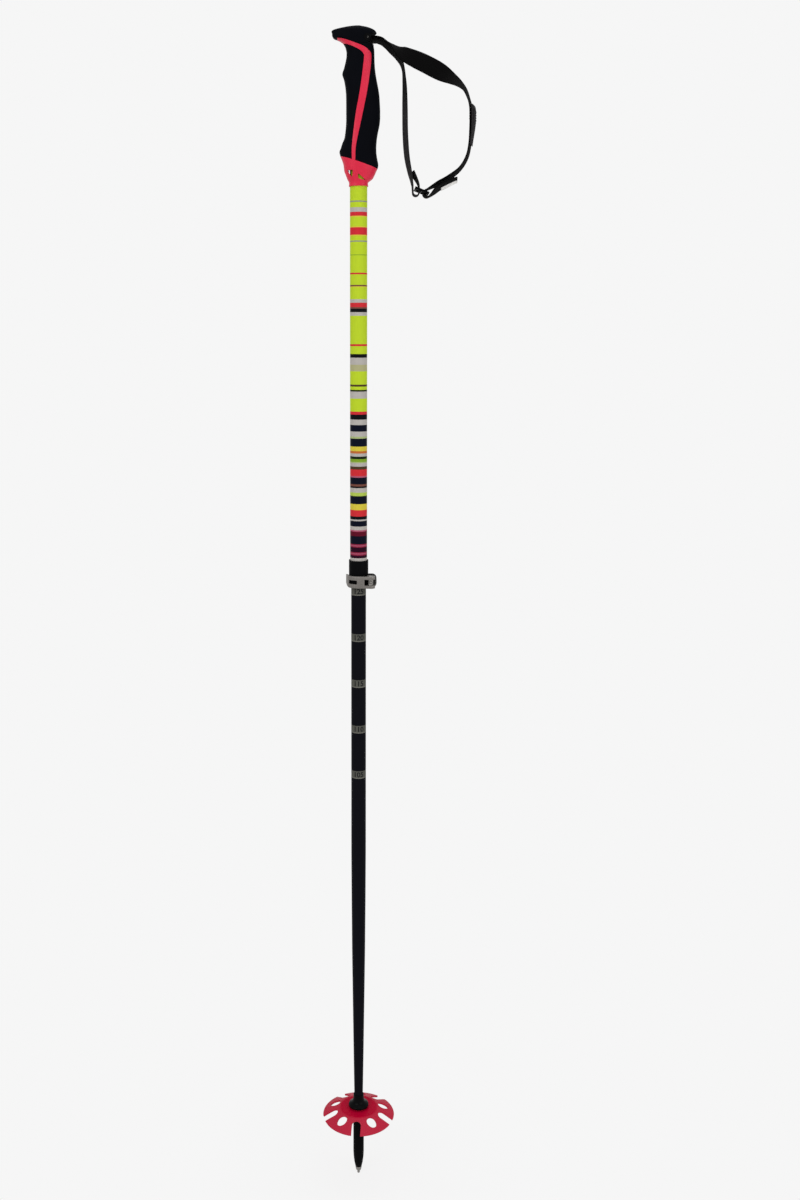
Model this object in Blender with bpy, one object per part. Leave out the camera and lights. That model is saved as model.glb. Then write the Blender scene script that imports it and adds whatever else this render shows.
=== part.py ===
"""Telescopic ski pole: grip with wrist strap, two shafts, lever clamp, basket and tip.

All sizes are in metres. The tip end is at the origin and the shafts run along +Z.
The grip's beak points to -X, the strap leaves to +X and the clamp lever lies on -Y.
"""

import math

import bmesh
import bpy
from mathutils import Vector

MM = 0.001

# Clearance between neighbouring pieces
GAP = 0.3 * MM

# Tip pin and its steel cone
PIN_RADIUS = 1.4 * MM
PIN_END_BEVEL = 0.4 * MM
PIN_SEAT_DEPTH = 14.0 * MM
PIN_REACH = 3.8 * MM
CONE_FOOT_WALL = 1.0 * MM
CONE_HEIGHT = 4.0 * MM
CONE_TOP_SPREAD = 0.7 * MM
STEM_WALL = 0.6 * MM
STEM_TOP_WALL = 5.0 * MM

# Ferrule
FERRULE_NOSE_WALL = 0.9 * MM
FERRULE_NOSE_HEIGHT = 17.9 * MM
FERRULE_RADIUS = 5.8 * MM
FERRULE_STRAIGHT = 39.2 * MM
FERRULE_FLOOR = 21.0 * MM

# Basket and the collar above it
SEAT_STEP = 0.5 * MM
HUB_HEIGHT = 13.3 * MM
HUB_WALL = 3.4 * MM
DISC_DROP = 1.2 * MM
DISC_RADIUS = 20.0 * MM
BASKET_RADIUS = 39.2 * MM
PETAL_DROP = 8.4 * MM
BASKET_SHEET = 1.8 * MM
NOTCH_COUNT = 5
NOTCH_WIDTH = 10.0 * MM
NOTCH_LENGTH = 15.4 * MM
NOTCH_TURN = math.radians(265.0)
HOLE_LENGTH = 11.4 * MM
HOLE_WIDTH = 10.4 * MM
HOLE_RIM = 5.6 * MM
COLLAR_HEIGHT = 13.4 * MM
COLLAR_TOP_WALL = 0.6 * MM
COLLAR_FLARE = 5.4 * MM
COLLAR_LIP = 2.4 * MM

# Lower shaft, as heights above its foot and its radius there
LOWER_RADIUS = 7.9 * MM
LOWER_WALL = 1.2 * MM
LOWER_LENGTH = 870.0 * MM
FOOT_RADIUS = 4.3 * MM
TAPER = (
    (36.0 * MM, 0.04),
    (51.0 * MM, 0.13),
    (97.5 * MM, 0.33),
    (155.5 * MM, 0.56),
    (212.5 * MM, 0.78),
    (269.5 * MM, 0.91),
    (325.0 * MM, 1.0),
)
BUSH_DEPTH = 22.0 * MM
BUSH_FLANGE = 6.0 * MM
BUSH_WALL = 2.2 * MM

# Upper shaft
UPPER_WALL = 0.8 * MM
UPPER_EXPOSED = 391.9 * MM
SHAFT_IN_GRIP = 107.0 * MM

# Clamp on the upper shaft's lower end
CLAMP_HEIGHT = 662.2 * MM
CLAMP_RING_HEIGHT = 13.6 * MM
SLEEVE_HEIGHT = 15.5 * MM
CLAMP_WALL = 1.0 * MM
CLAMP_LIP_HEIGHT = 1.2 * MM
CLAMP_LIP = 0.7 * MM
CLAMP_SLIT = 2.0 * MM
EAR_THICKNESS = 2.4 * MM
EAR_REACH = 8.8 * MM
EAR_CORNER = 4.5 * MM
BOLT_RADIUS = 1.5 * MM
BOLT_HEAD_RADIUS = 2.5 * MM
BOLT_HEAD_HEIGHT = 3.0 * MM
BOLT_KEY_RADIUS = 1.3 * MM
BOLT_KEY_DEPTH = 1.6 * MM
WASHER_RADIUS = 2.7 * MM
WASHER_THICKNESS = 0.7 * MM
SADDLE_THICKNESS = 1.0 * MM
SADDLE_RAIL = 2.6 * MM
BARREL_RADIUS = 2.8 * MM
LEVER_BOSS_WALL = 1.6 * MM
LEVER_HEIGHT = 12.6 * MM
LEVER_SHEET = 2.0 * MM
LEVER_CHEEK = 3.1 * MM
LEVER_WINDOW_MARGIN = 2.8 * MM
LEVER_TAB = 2.6 * MM
LEVER_CORNER = 4.0 * MM
LEVER_SLOT_LENGTH = 8.6 * MM
LEVER_SLOT_HEIGHT = 4.2 * MM
LEVER_SLOT_CORNER = 0.9 * MM
LEVER_SLOT_OFFSET = 6.0 * MM

# Grip: sizes of its skirt, handle and head
PAD_THICKNESS = 2.0 * MM
STRIPE_SINK = 0.15 * MM
SKIRT_HEIGHT = 30.2 * MM
HANDLE_LENGTH = 113.2 * MM

# Grip stations: share of the skirt's or handle's height, or millimetres above the head's foot,
# then the cover over the shaft in front, behind and at the sides, in millimetres
SKIRT_STATIONS = (
    (0.000, 1.05, 1.05, 1.05),
    (0.139, 1.05, 1.20, 1.05),
    (0.232, 2.60, 4.90, 2.20),
    (0.364, 4.10, 7.40, 3.20),
    (0.497, 5.70, 9.20, 4.20),
    (0.629, 6.30, 11.00, 4.90),
    (0.712, 6.60, 11.40, 5.20),
    (0.894, 8.30, 10.50, 5.60),
    (1.000, 9.90, 9.80, 5.85),
)
HANDLE_STATIONS = (
    (0.044, 10.75, 9.40, 5.95),
    (0.080, 9.25, 9.30, 5.95),
    (0.117, 7.95, 9.50, 5.95),
    (0.157, 6.05, 9.90, 5.95),
    (0.210, 4.95, 10.90, 5.95),
    (0.294, 4.05, 12.80, 5.95),
    (0.403, 3.95, 13.30, 5.95),
    (0.484, 3.95, 12.90, 5.85),
    (0.564, 4.15, 12.20, 5.65),
    (0.634, 4.95, 10.80, 5.35),
    (0.687, 6.05, 9.60, 5.05),
    (0.739, 7.75, 8.60, 4.75),
    (0.789, 6.05, 7.90, 4.45),
    (0.837, 4.65, 7.50, 4.15),
    (0.899, 3.45, 7.30, 3.95),
    (0.955, 3.85, 7.10, 3.95),
    (0.990, 5.35, 6.50, 4.05),
)
HEAD_STATIONS = (
    (2.1, 7.95, 6.70, 4.15),
    (4.6, 12.15, 8.30, 4.25),
    (6.2, 16.35, 9.00, 4.35),
    (8.2, 17.85, 9.50, 4.25),
    (11.0, 18.25, 9.60, 3.95),
    (14.5, 17.45, 7.20, 2.60),
    (17.0, 7.80, 1.20, -0.40),
    (18.5, 0.60, -4.90, -4.40),
    (19.2, -3.60, -7.40, -6.90),
)
GRIP_SIDES = 28
SECTION_POWER = 2.3

# Side stripe of the core: millimetres behind the shaft axis, height and half width in millimetres.
# Under the head the height is in millimetres above the head's foot, along the side a share of the handle.
STRIPE_TOP = (
    (-22.0, 4.4, 1.4),
    (-15.4, 2.6, 1.7),
    (-5.1, -1.7, 2.0),
)
STRIPE_SIDE = (
    (3.5, 0.950, 2.6),
    (7.6, 0.918, 3.3),
    (9.3, 0.868, 3.8),
    (5.6, 0.607, 3.7),
    (0.2, 0.355, 3.4),
    (-4.6, 0.102, 2.1),
    (-5.2, -0.020, 1.8),
)
STRIPE_RUNOUT = (-45.0, -0.8, 0.0)
STRIPE_FOOT = (-5.2, -0.12, 1.8)
SKIRT_TOP_SLOPE = 0.335
SKIRT_FRONT = 18.2 * MM
SKIRT_HOLLOW_FOOT = 5.0 * MM
SKIRT_HOLLOW_TOP = 20.0 * MM
SKIRT_HOLLOW_SPREAD = 3.2 * MM
# Corners of the skirt's windows: millimetres behind the shaft axis, share of the skirt's height
SKIRT_WINDOWS = (
    ((-12.0, 0.520), (-5.8, 0.520), (-6.8, 0.280)),
    ((-0.6, 0.410), (7.7, 0.180), (-0.6, 0.250)),
)

# Strap and its pin in the head
STRAP_PIN_RADIUS = 1.2 * MM
STRAP_PIN_BEHIND = 9.0 * MM
STRAP_PIN_ABOVE_SPLIT = 5.7 * MM
STRAP_PIN_SINK = 0.9 * MM
STRAP_WIDTH = 20.0 * MM
STRAP_THICKNESS = 1.4 * MM
STRAP_SLOT_SIDE = 0.7 * MM
STRAP_LIFT = math.radians(15.0)
SLIDER_BAR_RADIUS = 1.0 * MM
SLIDER_RAIL = 2.4 * MM

# Strap routes as distance behind the pin, height above it, turn of the webbing's face in degrees
# and shift to the far side; the two runs pass each other side by side where they leave the head
INNER_ROUTE = (
    (10.0, -2.0, 0.0, 0.0),
    (15.0, -3.2, 0.0, 1.5),
    (20.0, -5.9, 1.0, 3.8),
    (24.7, -9.9, 2.0, 5.6),
    (28.9, -13.9, 2.0, 6.2),
    (32.2, -18.0, 3.0, 6.0),
    (35.4, -23.2, 3.0, 5.0),
    (37.2, -30.2, 4.0, 3.6),
    (38.0, -40.0, 7.0, 1.8),
    (38.5, -50.0, 10.0, 0.5),
    (38.7, -61.8, 12.0, 0.0),
    (38.9, -76.3, 13.0, 0.0),
    (39.1, -90.8, 13.0, 0.0),
    (39.8, -105.3, 13.0, 0.0),
    (41.2, -120.0, 12.0, 0.0),
    (44.0, -134.4, 9.0, 0.0),
    (45.6, -141.5, 5.0, 0.0),
    (46.9, -148.5, 1.0, 0.0),
)
INNER_TURN_BACK = (
    (53.6, -150.6, 0.0, 0.0),
    (52.8, -146.6, -2.0, 0.0),
    (50.8, -142.2, -5.0, 0.0),
    (48.4, -138.0, -8.0, 0.0),
    (46.6, -134.0, -9.0, 0.0),
)
INNER_LOOP = (50.4, -155.6, 3.2)
OUTER_LOOP = (61.7, -156.4, 3.8)
INNER_BAR = (50.4, -151.8)
MIDDLE_BAR = (55.6, -153.9)
OUTER_BAR = (62.2, -156.6)
OUTER_ROUTE = (
    (10.0, 1.2, 0.0, 0.0),
    (15.0, 0.0, 0.0, -1.5),
    (20.0, -3.0, 1.0, -3.8),
    (25.0, -6.5, 5.0, -5.6),
    (28.0, -9.1, 17.0, -6.0),
    (31.0, -11.6, 34.0, -6.2),
    (35.0, -14.3, 51.0, -5.6),
    (41.7, -17.4, 62.0, -4.0),
    (50.8, -20.8, 72.0, -1.0),
    (60.0, -24.8, 76.0, 0.0),
    (70.2, -30.1, 76.0, 0.0),
    (77.4, -34.1, 68.0, 0.0),
    (86.4, -39.2, 48.0, 0.0),
    (93.9, -44.0, 33.0, 0.0),
    (100.4, -50.4, 20.5, 0.0),
    (104.4, -59.3, 14.5, 0.0),
    (106.4, -66.5, 13.5, 0.0),
    (107.2, -76.5, 13.0, 0.0),
    (107.0, -91.5, 13.0, 0.0),
    (106.0, -106.5, 12.0, 0.0),
    (103.0, -119.5, 11.0, 0.0),
    (95.5, -131.5, 10.0, 0.0),
    (83.0, -141.0, 7.0, 0.0),
    (74.0, -145.9, 4.0, 0.0),
    (67.5, -149.2, 1.0, 0.0),
)
TAIL_ROUTE = (
    (66.5, -157.4, -3.0, 0.0),
    (70.2, -153.9, -9.0, 0.0),
    (74.5, -150.5, -13.0, 0.0),
    (79.7, -147.7, -14.0, 0.0),
    (87.9, -143.7, -12.0, 0.0),
    (93.2, -141.9, -10.0, 0.0),
)
OVERLAP_LAYERS = 2
OVERLAP_ROUTE = (
    (109.5, -66.2, 14.0, -0.55),
    (109.8, -72.0, 13.5, -0.55),
    (109.8, -80.0, 13.0, -0.55),
    (109.7, -91.4, 13.0, -0.55),
    (109.2, -100.0, 12.5, -0.55),
    (108.6, -107.0, 12.0, -0.55),
)

ROUND_STEPS = 32
SMALL_STEPS = 16

# Levels and radii that follow from the sizes above
CONE_FOOT = PIN_REACH
CONE_TOP = CONE_FOOT + CONE_HEIGHT
CONE_BORE = PIN_RADIUS + GAP
STEM_RADIUS = CONE_BORE + STEM_WALL
FERRULE_FOOT = CONE_TOP + GAP
PIN_TOP = CONE_FOOT + PIN_SEAT_DEPTH
STEM_TOP = PIN_TOP + GAP + STEM_TOP_WALL
FERRULE_SEAT = FERRULE_FOOT + FERRULE_NOSE_HEIGHT + FERRULE_STRAIGHT
SHAFT_FOOT = STEM_TOP + GAP + FERRULE_FLOOR + GAP
HUB_FOOT = FERRULE_SEAT + GAP
HUB_TOP = HUB_FOOT + HUB_HEIGHT
FERRULE_TOP = HUB_TOP
COLLAR_FOOT = HUB_TOP + GAP
COLLAR_TOP = COLLAR_FOOT + COLLAR_HEIGHT
SEAT_RADIUS = FERRULE_RADIUS - SEAT_STEP
HUB_BORE = SEAT_RADIUS + GAP
LOWER_TOP = SHAFT_FOOT + LOWER_LENGTH
LOWER_BORE = LOWER_RADIUS - LOWER_WALL
UPPER_BORE = LOWER_RADIUS + GAP
UPPER_RADIUS = UPPER_BORE + UPPER_WALL
SLEEVE_BORE = UPPER_RADIUS + GAP
CLAMP_RADIUS = SLEEVE_BORE + CLAMP_WALL
CLAMP_RING_TOP = CLAMP_HEIGHT + CLAMP_RING_HEIGHT
SLEEVE_TOP = CLAMP_RING_TOP + SLEEVE_HEIGHT
UPPER_FOOT = CLAMP_RING_TOP + GAP
GRIP_FOOT = SLEEVE_TOP + UPPER_EXPOSED
HANDLE_FOOT = GRIP_FOOT + SKIRT_HEIGHT
HEAD_FOOT = HANDLE_FOOT + HANDLE_LENGTH
UPPER_TOP = GRIP_FOOT + SHAFT_IN_GRIP
BOLT_HEIGHT = CLAMP_HEIGHT + CLAMP_RING_HEIGHT / 2.0
EAR_FACE = CLAMP_SLIT / 2.0 + EAR_THICKNESS
EAR_ROOT = math.sqrt(CLAMP_RADIUS ** 2 - EAR_FACE ** 2)
BOLT_BEHIND = EAR_ROOT + GAP + max(WASHER_RADIUS, BOLT_HEAD_RADIUS)
SADDLE_FACE = EAR_FACE + GAP + SADDLE_THICKNESS
BOSS_RADIUS = BARREL_RADIUS + GAP + LEVER_BOSS_WALL
BARREL_FORWARD = SADDLE_FACE + GAP + BOSS_RADIUS
LEVER_FOOT = BOLT_HEIGHT - LEVER_HEIGHT / 2.0
LEVER_TOP = BOLT_HEIGHT + LEVER_HEIGHT / 2.0
STRAP_PIN_HEIGHT = HEAD_FOOT + STRAP_PIN_ABOVE_SPLIT
STRAP_LOOP = STRAP_PIN_RADIUS + GAP + STRAP_THICKNESS / 2.0


def clear_scene():
    """Remove every object, mesh and material of the start-up scene."""
    for item in list(bpy.data.objects):
        bpy.data.objects.remove(item, do_unlink=True)
    for mesh in list(bpy.data.meshes):
        bpy.data.meshes.remove(mesh)
    for collection in list(bpy.data.collections):
        bpy.data.collections.remove(collection)


def make_material(name, colour, metallic, roughness):
    """Return a plain Principled material."""
    material = bpy.data.materials.new(name)
    material.use_nodes = True
    shader = material.node_tree.nodes["Principled BSDF"]
    shader.inputs["Base Color"].default_value = (*colour, 1.0)
    shader.inputs["Metallic"].default_value = metallic
    shader.inputs["Roughness"].default_value = roughness
    return material


def make_object(name, vertices, faces, collection, origin=(0.0, 0.0, 0.0)):
    """Return a closed mesh object with outward faces, its origin at the given world point."""
    shift = Vector(origin)
    mesh = bpy.data.meshes.new(name)
    mesh.from_pydata([Vector(vertex) - shift for vertex in vertices], [], faces)
    form = bmesh.new()
    form.from_mesh(mesh)
    bmesh.ops.recalc_face_normals(form, faces=form.faces)
    form.to_mesh(mesh)
    form.free()
    item = bpy.data.objects.new(name, mesh)
    item.location = shift
    collection.objects.link(item)
    return item


def make_part(name, vertices, faces, material, origin=(0.0, 0.0, 0.0)):
    """Return a part of the pole, with its material."""
    item = make_object(name, vertices, faces, PARTS, origin)
    item.data.materials.append(material)
    return item


def make_cutter(name, vertices, faces):
    """Return a hidden form that only cuts or joins other forms."""
    item = make_object(name, vertices, faces, CUTTERS)
    item.hide_render = True
    item.display_type = "WIRE"
    return item


def combine(item, other, operation):
    """Add an exact Boolean of the given kind to a form."""
    step = item.modifiers.new(operation.lower() + "_" + other.name, "BOOLEAN")
    step.operation = operation
    step.solver = "EXACT"
    step.object = other


def revolved(profile, steps=ROUND_STEPS, centre=(0.0, 0.0, 0.0), axis="Z"):
    """Return vertices and faces of a profile of (radius, height) turned about an axis.

    A profile that starts and ends at radius 0 gives a solid, any other closed profile a ring.
    """
    solid = profile[0][0] == 0.0 and profile[-1][0] == 0.0
    rows = profile[1:-1] if solid else profile
    vertices = []
    for radius, height in rows:
        for step in range(steps):
            angle = 2.0 * math.pi * step / steps
            vertices.append(placed(radius * math.cos(angle), radius * math.sin(angle), height, centre, axis))
    faces = []
    row_count = len(rows)
    last = row_count - 1 if solid else row_count
    for row in range(last):
        here = row * steps
        there = ((row + 1) % row_count) * steps
        for step in range(steps):
            after = (step + 1) % steps
            faces.append((here + step, here + after, there + after, there + step))
    if solid:
        faces.append(tuple(range(steps)))
        faces.append(tuple(range((row_count - 1) * steps, row_count * steps)))
    return vertices, faces


def placed(across, along, height, centre, axis):
    """Return a point of a form turned about Z, or about Y where the axis says so."""
    if axis == "Y":
        return (centre[0] + across, centre[1] + height, centre[2] + along)
    return (centre[0] + across, centre[1] + along, centre[2] + height)


def prism(outline, low, high, axis):
    """Return an outline of (x, z) drawn out along Y, or of (x, y) along Z."""
    count = len(outline)
    vertices = []
    for level in (low, high):
        for first, second in outline:
            if axis == "Y":
                vertices.append((first, level, second))
            else:
                vertices.append((first, second, level))
    faces = [tuple(range(count)), tuple(range(count, 2 * count))]
    for index in range(count):
        after = (index + 1) % count
        faces.append((index, after, count + after, count + index))
    return vertices, faces


def box(low, high):
    """Return a box between two corners."""
    outline = ((low[0], low[1]), (high[0], low[1]), (high[0], high[1]), (low[0], high[1]))
    return prism(outline, low[2], high[2], "Z")


def merged(forms):
    """Return several separate forms as one list of vertices and faces."""
    vertices = []
    faces = []
    for form_vertices, form_faces in forms:
        start = len(vertices)
        vertices.extend(form_vertices)
        faces.extend(tuple(index + start for index in face) for face in form_faces)
    return vertices, faces


def lofted(rings):
    """Return rings of equal count joined into one closed form."""
    sides = len(rings[0])
    vertices = [point for ring in rings for point in ring]
    faces = [tuple(range(sides)), tuple(range(len(vertices) - sides, len(vertices)))]
    for row in range(len(rings) - 1):
        for side in range(sides):
            after = (side + 1) % sides
            low = row * sides
            high = low + sides
            faces.append((low + side, low + after, high + after, high + side))
    return vertices, faces


def arc(centre, radius, start, end, steps):
    """Return points of an arc in a plane, with angles in radians."""
    points = []
    for step in range(steps + 1):
        angle = start + (end - start) * step / steps
        points.append((centre[0] + radius * math.cos(angle), centre[1] + radius * math.sin(angle)))
    return points


def bent_power(value, power):
    """Return a value raised to a power with its sign kept."""
    return math.copysign(abs(value) ** power, value)


def grip_stations():
    """Return the grip's stations as height and cover in front, behind and at the sides, in metres."""
    stations = []
    for share, front, rear, side in SKIRT_STATIONS:
        stations.append((GRIP_FOOT + share * SKIRT_HEIGHT, front * MM, rear * MM, side * MM))
    for share, front, rear, side in HANDLE_STATIONS:
        stations.append((HANDLE_FOOT + share * HANDLE_LENGTH, front * MM, rear * MM, side * MM))
    for height, front, rear, side in HEAD_STATIONS:
        stations.append((HEAD_FOOT + height * MM, front * MM, rear * MM, side * MM))
    return stations


def grip_form(inset, stations):
    """Return the grip's outer form through the given stations, drawn in by an inset."""
    rings = []
    for height, front, rear, side in stations:
        ring = []
        for step in range(GRIP_SIDES):
            angle = 2.0 * math.pi * step / GRIP_SIDES
            across = bent_power(math.cos(angle), 2.0 / SECTION_POWER)
            depth = bent_power(math.sin(angle), 2.0 / SECTION_POWER)
            cover = rear if across > 0.0 else front
            reach = UPPER_RADIUS + cover - inset
            half_depth = UPPER_RADIUS + side - inset
            ring.append((across * reach, depth * half_depth, height))
        rings.append(ring)
    return lofted(rings)


def stripe_points():
    """Return the stripe's centre line as distance behind the shaft axis, height and half width, in metres."""
    points = [(behind * MM, HEAD_FOOT + height * MM, half * MM) for behind, height, half in STRIPE_TOP]
    for behind, share, half in STRIPE_SIDE + (STRIPE_FOOT,):
        points.append((behind * MM, HANDLE_FOOT + share * HANDLE_LENGTH, half * MM))
    return points


def stripe_edge(points, side, extra):
    """Return one edge of the stripe as (x, z), on the rear side for side 1 and in front for -1."""
    edge = []
    for index, (behind, height, half_width) in enumerate(points):
        before = points[max(index - 1, 0)]
        after = points[min(index + 1, len(points) - 1)]
        run = Vector((after[0] - before[0], after[1] - before[1])).normalized()
        reach = side * (half_width + extra)
        edge.append((behind - run.y * reach, height + run.x * reach))
    return edge


def at_height(first, second, height):
    """Return the point at a height on the line through two points."""
    share = (height - first[1]) / (second[1] - first[1])
    return (first[0] + share * (second[0] - first[0]), height)


def skirt_level(behind):
    """Return the height of the slanted edge between the pads and the red skirt."""
    return HANDLE_FOOT - SKIRT_TOP_SLOPE * (behind + SKIRT_FRONT)


def skirt_below(extra):
    """Return a block that holds everything below the slanted edge, raised by an extra height."""
    wide = 4.0 * UPPER_RADIUS
    outline = (
        (-wide, GRIP_FOOT - wide),
        (wide, GRIP_FOOT - wide),
        (wide, skirt_level(wide) + extra),
        (-wide, skirt_level(-wide) + extra),
    )
    return prism(outline, -wide, wide, "Y")


def route_frames(route):
    """Return centre, width direction and thickness direction for each point of a strap route."""
    frames = []
    for index, (across, height, turn, shift) in enumerate(route):
        before = route[max(index - 1, 0)]
        after = route[min(index + 1, len(route) - 1)]
        run = Vector((after[0] - before[0], 0.0, after[1] - before[1])).normalized()
        lift = Vector((-run.z, 0.0, run.x))
        angle = math.radians(turn)
        wide = Vector((0.0, math.cos(angle), 0.0)) + lift * math.sin(angle)
        thick = lift * math.cos(angle) - Vector((0.0, math.sin(angle), 0.0))
        centre = Vector((STRAP_PIN_BEHIND + across, shift, STRAP_PIN_HEIGHT + height))
        frames.append((centre, wide, thick))
    return frames


def webbing(route, layers=1):
    """Return a strip of webbing along a route, of one or more layers."""
    rings = []
    for centre, wide, thick in route_frames(route):
        half_width = wide * (STRAP_WIDTH / 2.0)
        half_thickness = thick * (layers * STRAP_THICKNESS / 2.0)
        rings.append(
            (
                centre - half_width - half_thickness,
                centre + half_width - half_thickness,
                centre + half_width + half_thickness,
                centre - half_width + half_thickness,
            )
        )
    return lofted(rings)


def in_metres(route):
    """Return a strap route with its distances in metres."""
    return [(across * MM, height * MM, turn, shift * MM) for across, height, turn, shift in route]


def loop(centre, radius, start, end, steps):
    """Return a strap route round a bar or pin, with angles in degrees."""
    points = arc(centre, radius, math.radians(start), math.radians(end), steps)
    return [(across, height, 0.0, 0.0) for across, height in points]


def loose_loop(place, start, end, steps):
    """Return a strap route that hangs round a slider bar, from its centre and radius in millimetres."""
    centre = (place[0] * MM, place[1] * MM)
    return loop(centre, place[2] * MM, start, end, steps)


def smooth_route(route, pieces):
    """Return a strap route with extra points on a smooth curve through the given ones."""
    result = []
    last = len(route) - 1
    for index in range(last):
        p0 = Vector(route[max(index - 1, 0)])
        p1 = Vector(route[index])
        p2 = Vector(route[index + 1])
        p3 = Vector(route[min(index + 2, last)])
        for piece in range(pieces):
            share = piece / pieces
            square = share * share
            cube = square * share
            point = p1 * 2.0 + (p2 - p0) * share
            point += (p0 * 2.0 - p1 * 5.0 + p2 * 4.0 - p3) * square
            point += (p1 * 3.0 - p0 - p2 * 3.0 + p3) * cube
            result.append(tuple(point * 0.5))
    result.append(tuple(route[last]))
    return result


def build_tip():
    """Build the tip pin, its steel cone and the ferrule."""
    profile = (
        (0.0, 0.0),
        (PIN_RADIUS - PIN_END_BEVEL, 0.0),
        (PIN_RADIUS, PIN_END_BEVEL),
        (PIN_RADIUS, PIN_TOP),
        (0.0, PIN_TOP),
    )
    make_part("tip_pin", *revolved(profile, SMALL_STEPS), CARBIDE)

    cone_foot_radius = CONE_BORE + CONE_FOOT_WALL
    cone_top_radius = max(cone_foot_radius, STEM_RADIUS + GAP) + CONE_TOP_SPREAD
    profile = (
        (0.0, PIN_TOP + GAP),
        (CONE_BORE, PIN_TOP + GAP),
        (CONE_BORE, CONE_FOOT),
        (cone_foot_radius, CONE_FOOT),
        (cone_top_radius, CONE_FOOT + 0.7 * CONE_HEIGHT),
        (cone_top_radius, CONE_TOP),
        (STEM_RADIUS, CONE_TOP),
        (STEM_RADIUS, STEM_TOP),
        (0.0, STEM_TOP),
    )
    make_part("tip_collar", *revolved(profile, SMALL_STEPS + 8), STEEL)

    nose_radius = STEM_RADIUS + GAP + FERRULE_NOSE_WALL
    swell = FERRULE_RADIUS - nose_radius
    nose_top = FERRULE_FOOT + FERRULE_NOSE_HEIGHT
    shaft_seat = SHAFT_FOOT - GAP
    profile = (
        (0.0, STEM_TOP + GAP),
        (STEM_RADIUS + GAP, STEM_TOP + GAP),
        (STEM_RADIUS + GAP, FERRULE_FOOT),
        (nose_radius, FERRULE_FOOT),
        (nose_radius + 0.52 * swell, FERRULE_FOOT + 0.30 * FERRULE_NOSE_HEIGHT),
        (nose_radius + 0.86 * swell, FERRULE_FOOT + 0.65 * FERRULE_NOSE_HEIGHT),
        (FERRULE_RADIUS, nose_top),
        (FERRULE_RADIUS, FERRULE_SEAT),
        (SEAT_RADIUS, FERRULE_SEAT),
        (SEAT_RADIUS, FERRULE_TOP),
        (FOOT_RADIUS + GAP, FERRULE_TOP),
        (FOOT_RADIUS + GAP, shaft_seat),
        (0.0, shaft_seat),
    )
    make_part("tip_ferrule", *revolved(profile), BLACK_PLASTIC)


def rounded_slot(near, far, half_width):
    """Return a slot outline along +X from a round end at near to a square end at far."""
    inner = arc((near + half_width, 0.0), half_width, math.radians(270.0), math.radians(90.0), 8)
    return inner + [(far, half_width), (far, -half_width)]


def turned(outline, angle):
    """Return an outline of (x, y) turned about the origin."""
    cosine = math.cos(angle)
    sine = math.sin(angle)
    return [(x * cosine - y * sine, x * sine + y * cosine) for x, y in outline]


def build_basket():
    """Build the basket with its notches and holes, and the flared collar above it."""
    disc_top = HUB_TOP - DISC_DROP
    hub_radius = HUB_BORE + HUB_WALL
    rim_top = disc_top - PETAL_DROP
    profile = (
        (HUB_BORE, HUB_FOOT),
        (hub_radius, HUB_FOOT),
        (hub_radius, disc_top - BASKET_SHEET),
        (DISC_RADIUS, disc_top - BASKET_SHEET),
        (BASKET_RADIUS, rim_top - BASKET_SHEET),
        (BASKET_RADIUS, rim_top),
        (DISC_RADIUS, disc_top),
        (hub_radius, disc_top),
        (hub_radius, HUB_TOP),
        (HUB_BORE, HUB_TOP),
    )
    steps = 60
    basket = make_part("basket", *revolved(profile, steps), RED_PLASTIC, (0.0, 0.0, HUB_FOOT))
    notch = rounded_slot(BASKET_RADIUS - NOTCH_LENGTH, 1.2 * BASKET_RADIUS, NOTCH_WIDTH / 2.0)
    hole_centre = BASKET_RADIUS - HOLE_RIM - HOLE_LENGTH / 2.0
    hole = []
    for step in range(16):
        angle = 2.0 * math.pi * step / 16
        along = hole_centre + HOLE_LENGTH / 2.0 * math.cos(angle)
        hole.append((along, HOLE_WIDTH / 2.0 * math.sin(angle)))
    pitch = 2.0 * math.pi / NOTCH_COUNT
    low = rim_top - 2.0 * BASKET_SHEET
    high = HUB_TOP + BASKET_SHEET
    cuts = []
    for index in range(NOTCH_COUNT):
        angle = NOTCH_TURN + index * pitch
        cuts.append(prism(turned(notch, angle), low, high, "Z"))
        cuts.append(prism(turned(hole, angle + pitch / 2.0), low, high, "Z"))
    combine(basket, make_cutter("basket_cuts", *merged(cuts)), "DIFFERENCE")

    bore = shaft_radius(COLLAR_TOP - SHAFT_FOOT) + GAP
    top_radius = bore + COLLAR_TOP_WALL
    lip_radius = top_radius + COLLAR_FLARE
    lip_top = COLLAR_FOOT + COLLAR_LIP
    rise = COLLAR_TOP - lip_top
    profile = (
        (bore, COLLAR_FOOT),
        (lip_radius - 0.3 * COLLAR_LIP, COLLAR_FOOT),
        (lip_radius, COLLAR_FOOT + 0.3 * COLLAR_LIP),
        (lip_radius, lip_top - 0.2 * COLLAR_LIP),
        (lip_radius - 0.2 * COLLAR_FLARE, lip_top + 0.06 * rise),
        (top_radius + 0.45 * COLLAR_FLARE, lip_top + 0.26 * rise),
        (top_radius + 0.14 * COLLAR_FLARE, lip_top + 0.60 * rise),
        (top_radius, COLLAR_TOP),
        (bore, COLLAR_TOP),
    )
    make_part("basket_collar", *revolved(profile), BLACK_PLASTIC)


def shaft_radius(height):
    """Return the lower shaft's outer radius at a height above its foot."""
    before = (0.0, 0.0)
    for point in TAPER:
        if height <= point[0]:
            share = (height - before[0]) / (point[0] - before[0])
            swell = before[1] + share * (point[1] - before[1])
            return FOOT_RADIUS + swell * (LOWER_RADIUS - FOOT_RADIUS)
        before = point
    return LOWER_RADIUS


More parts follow.
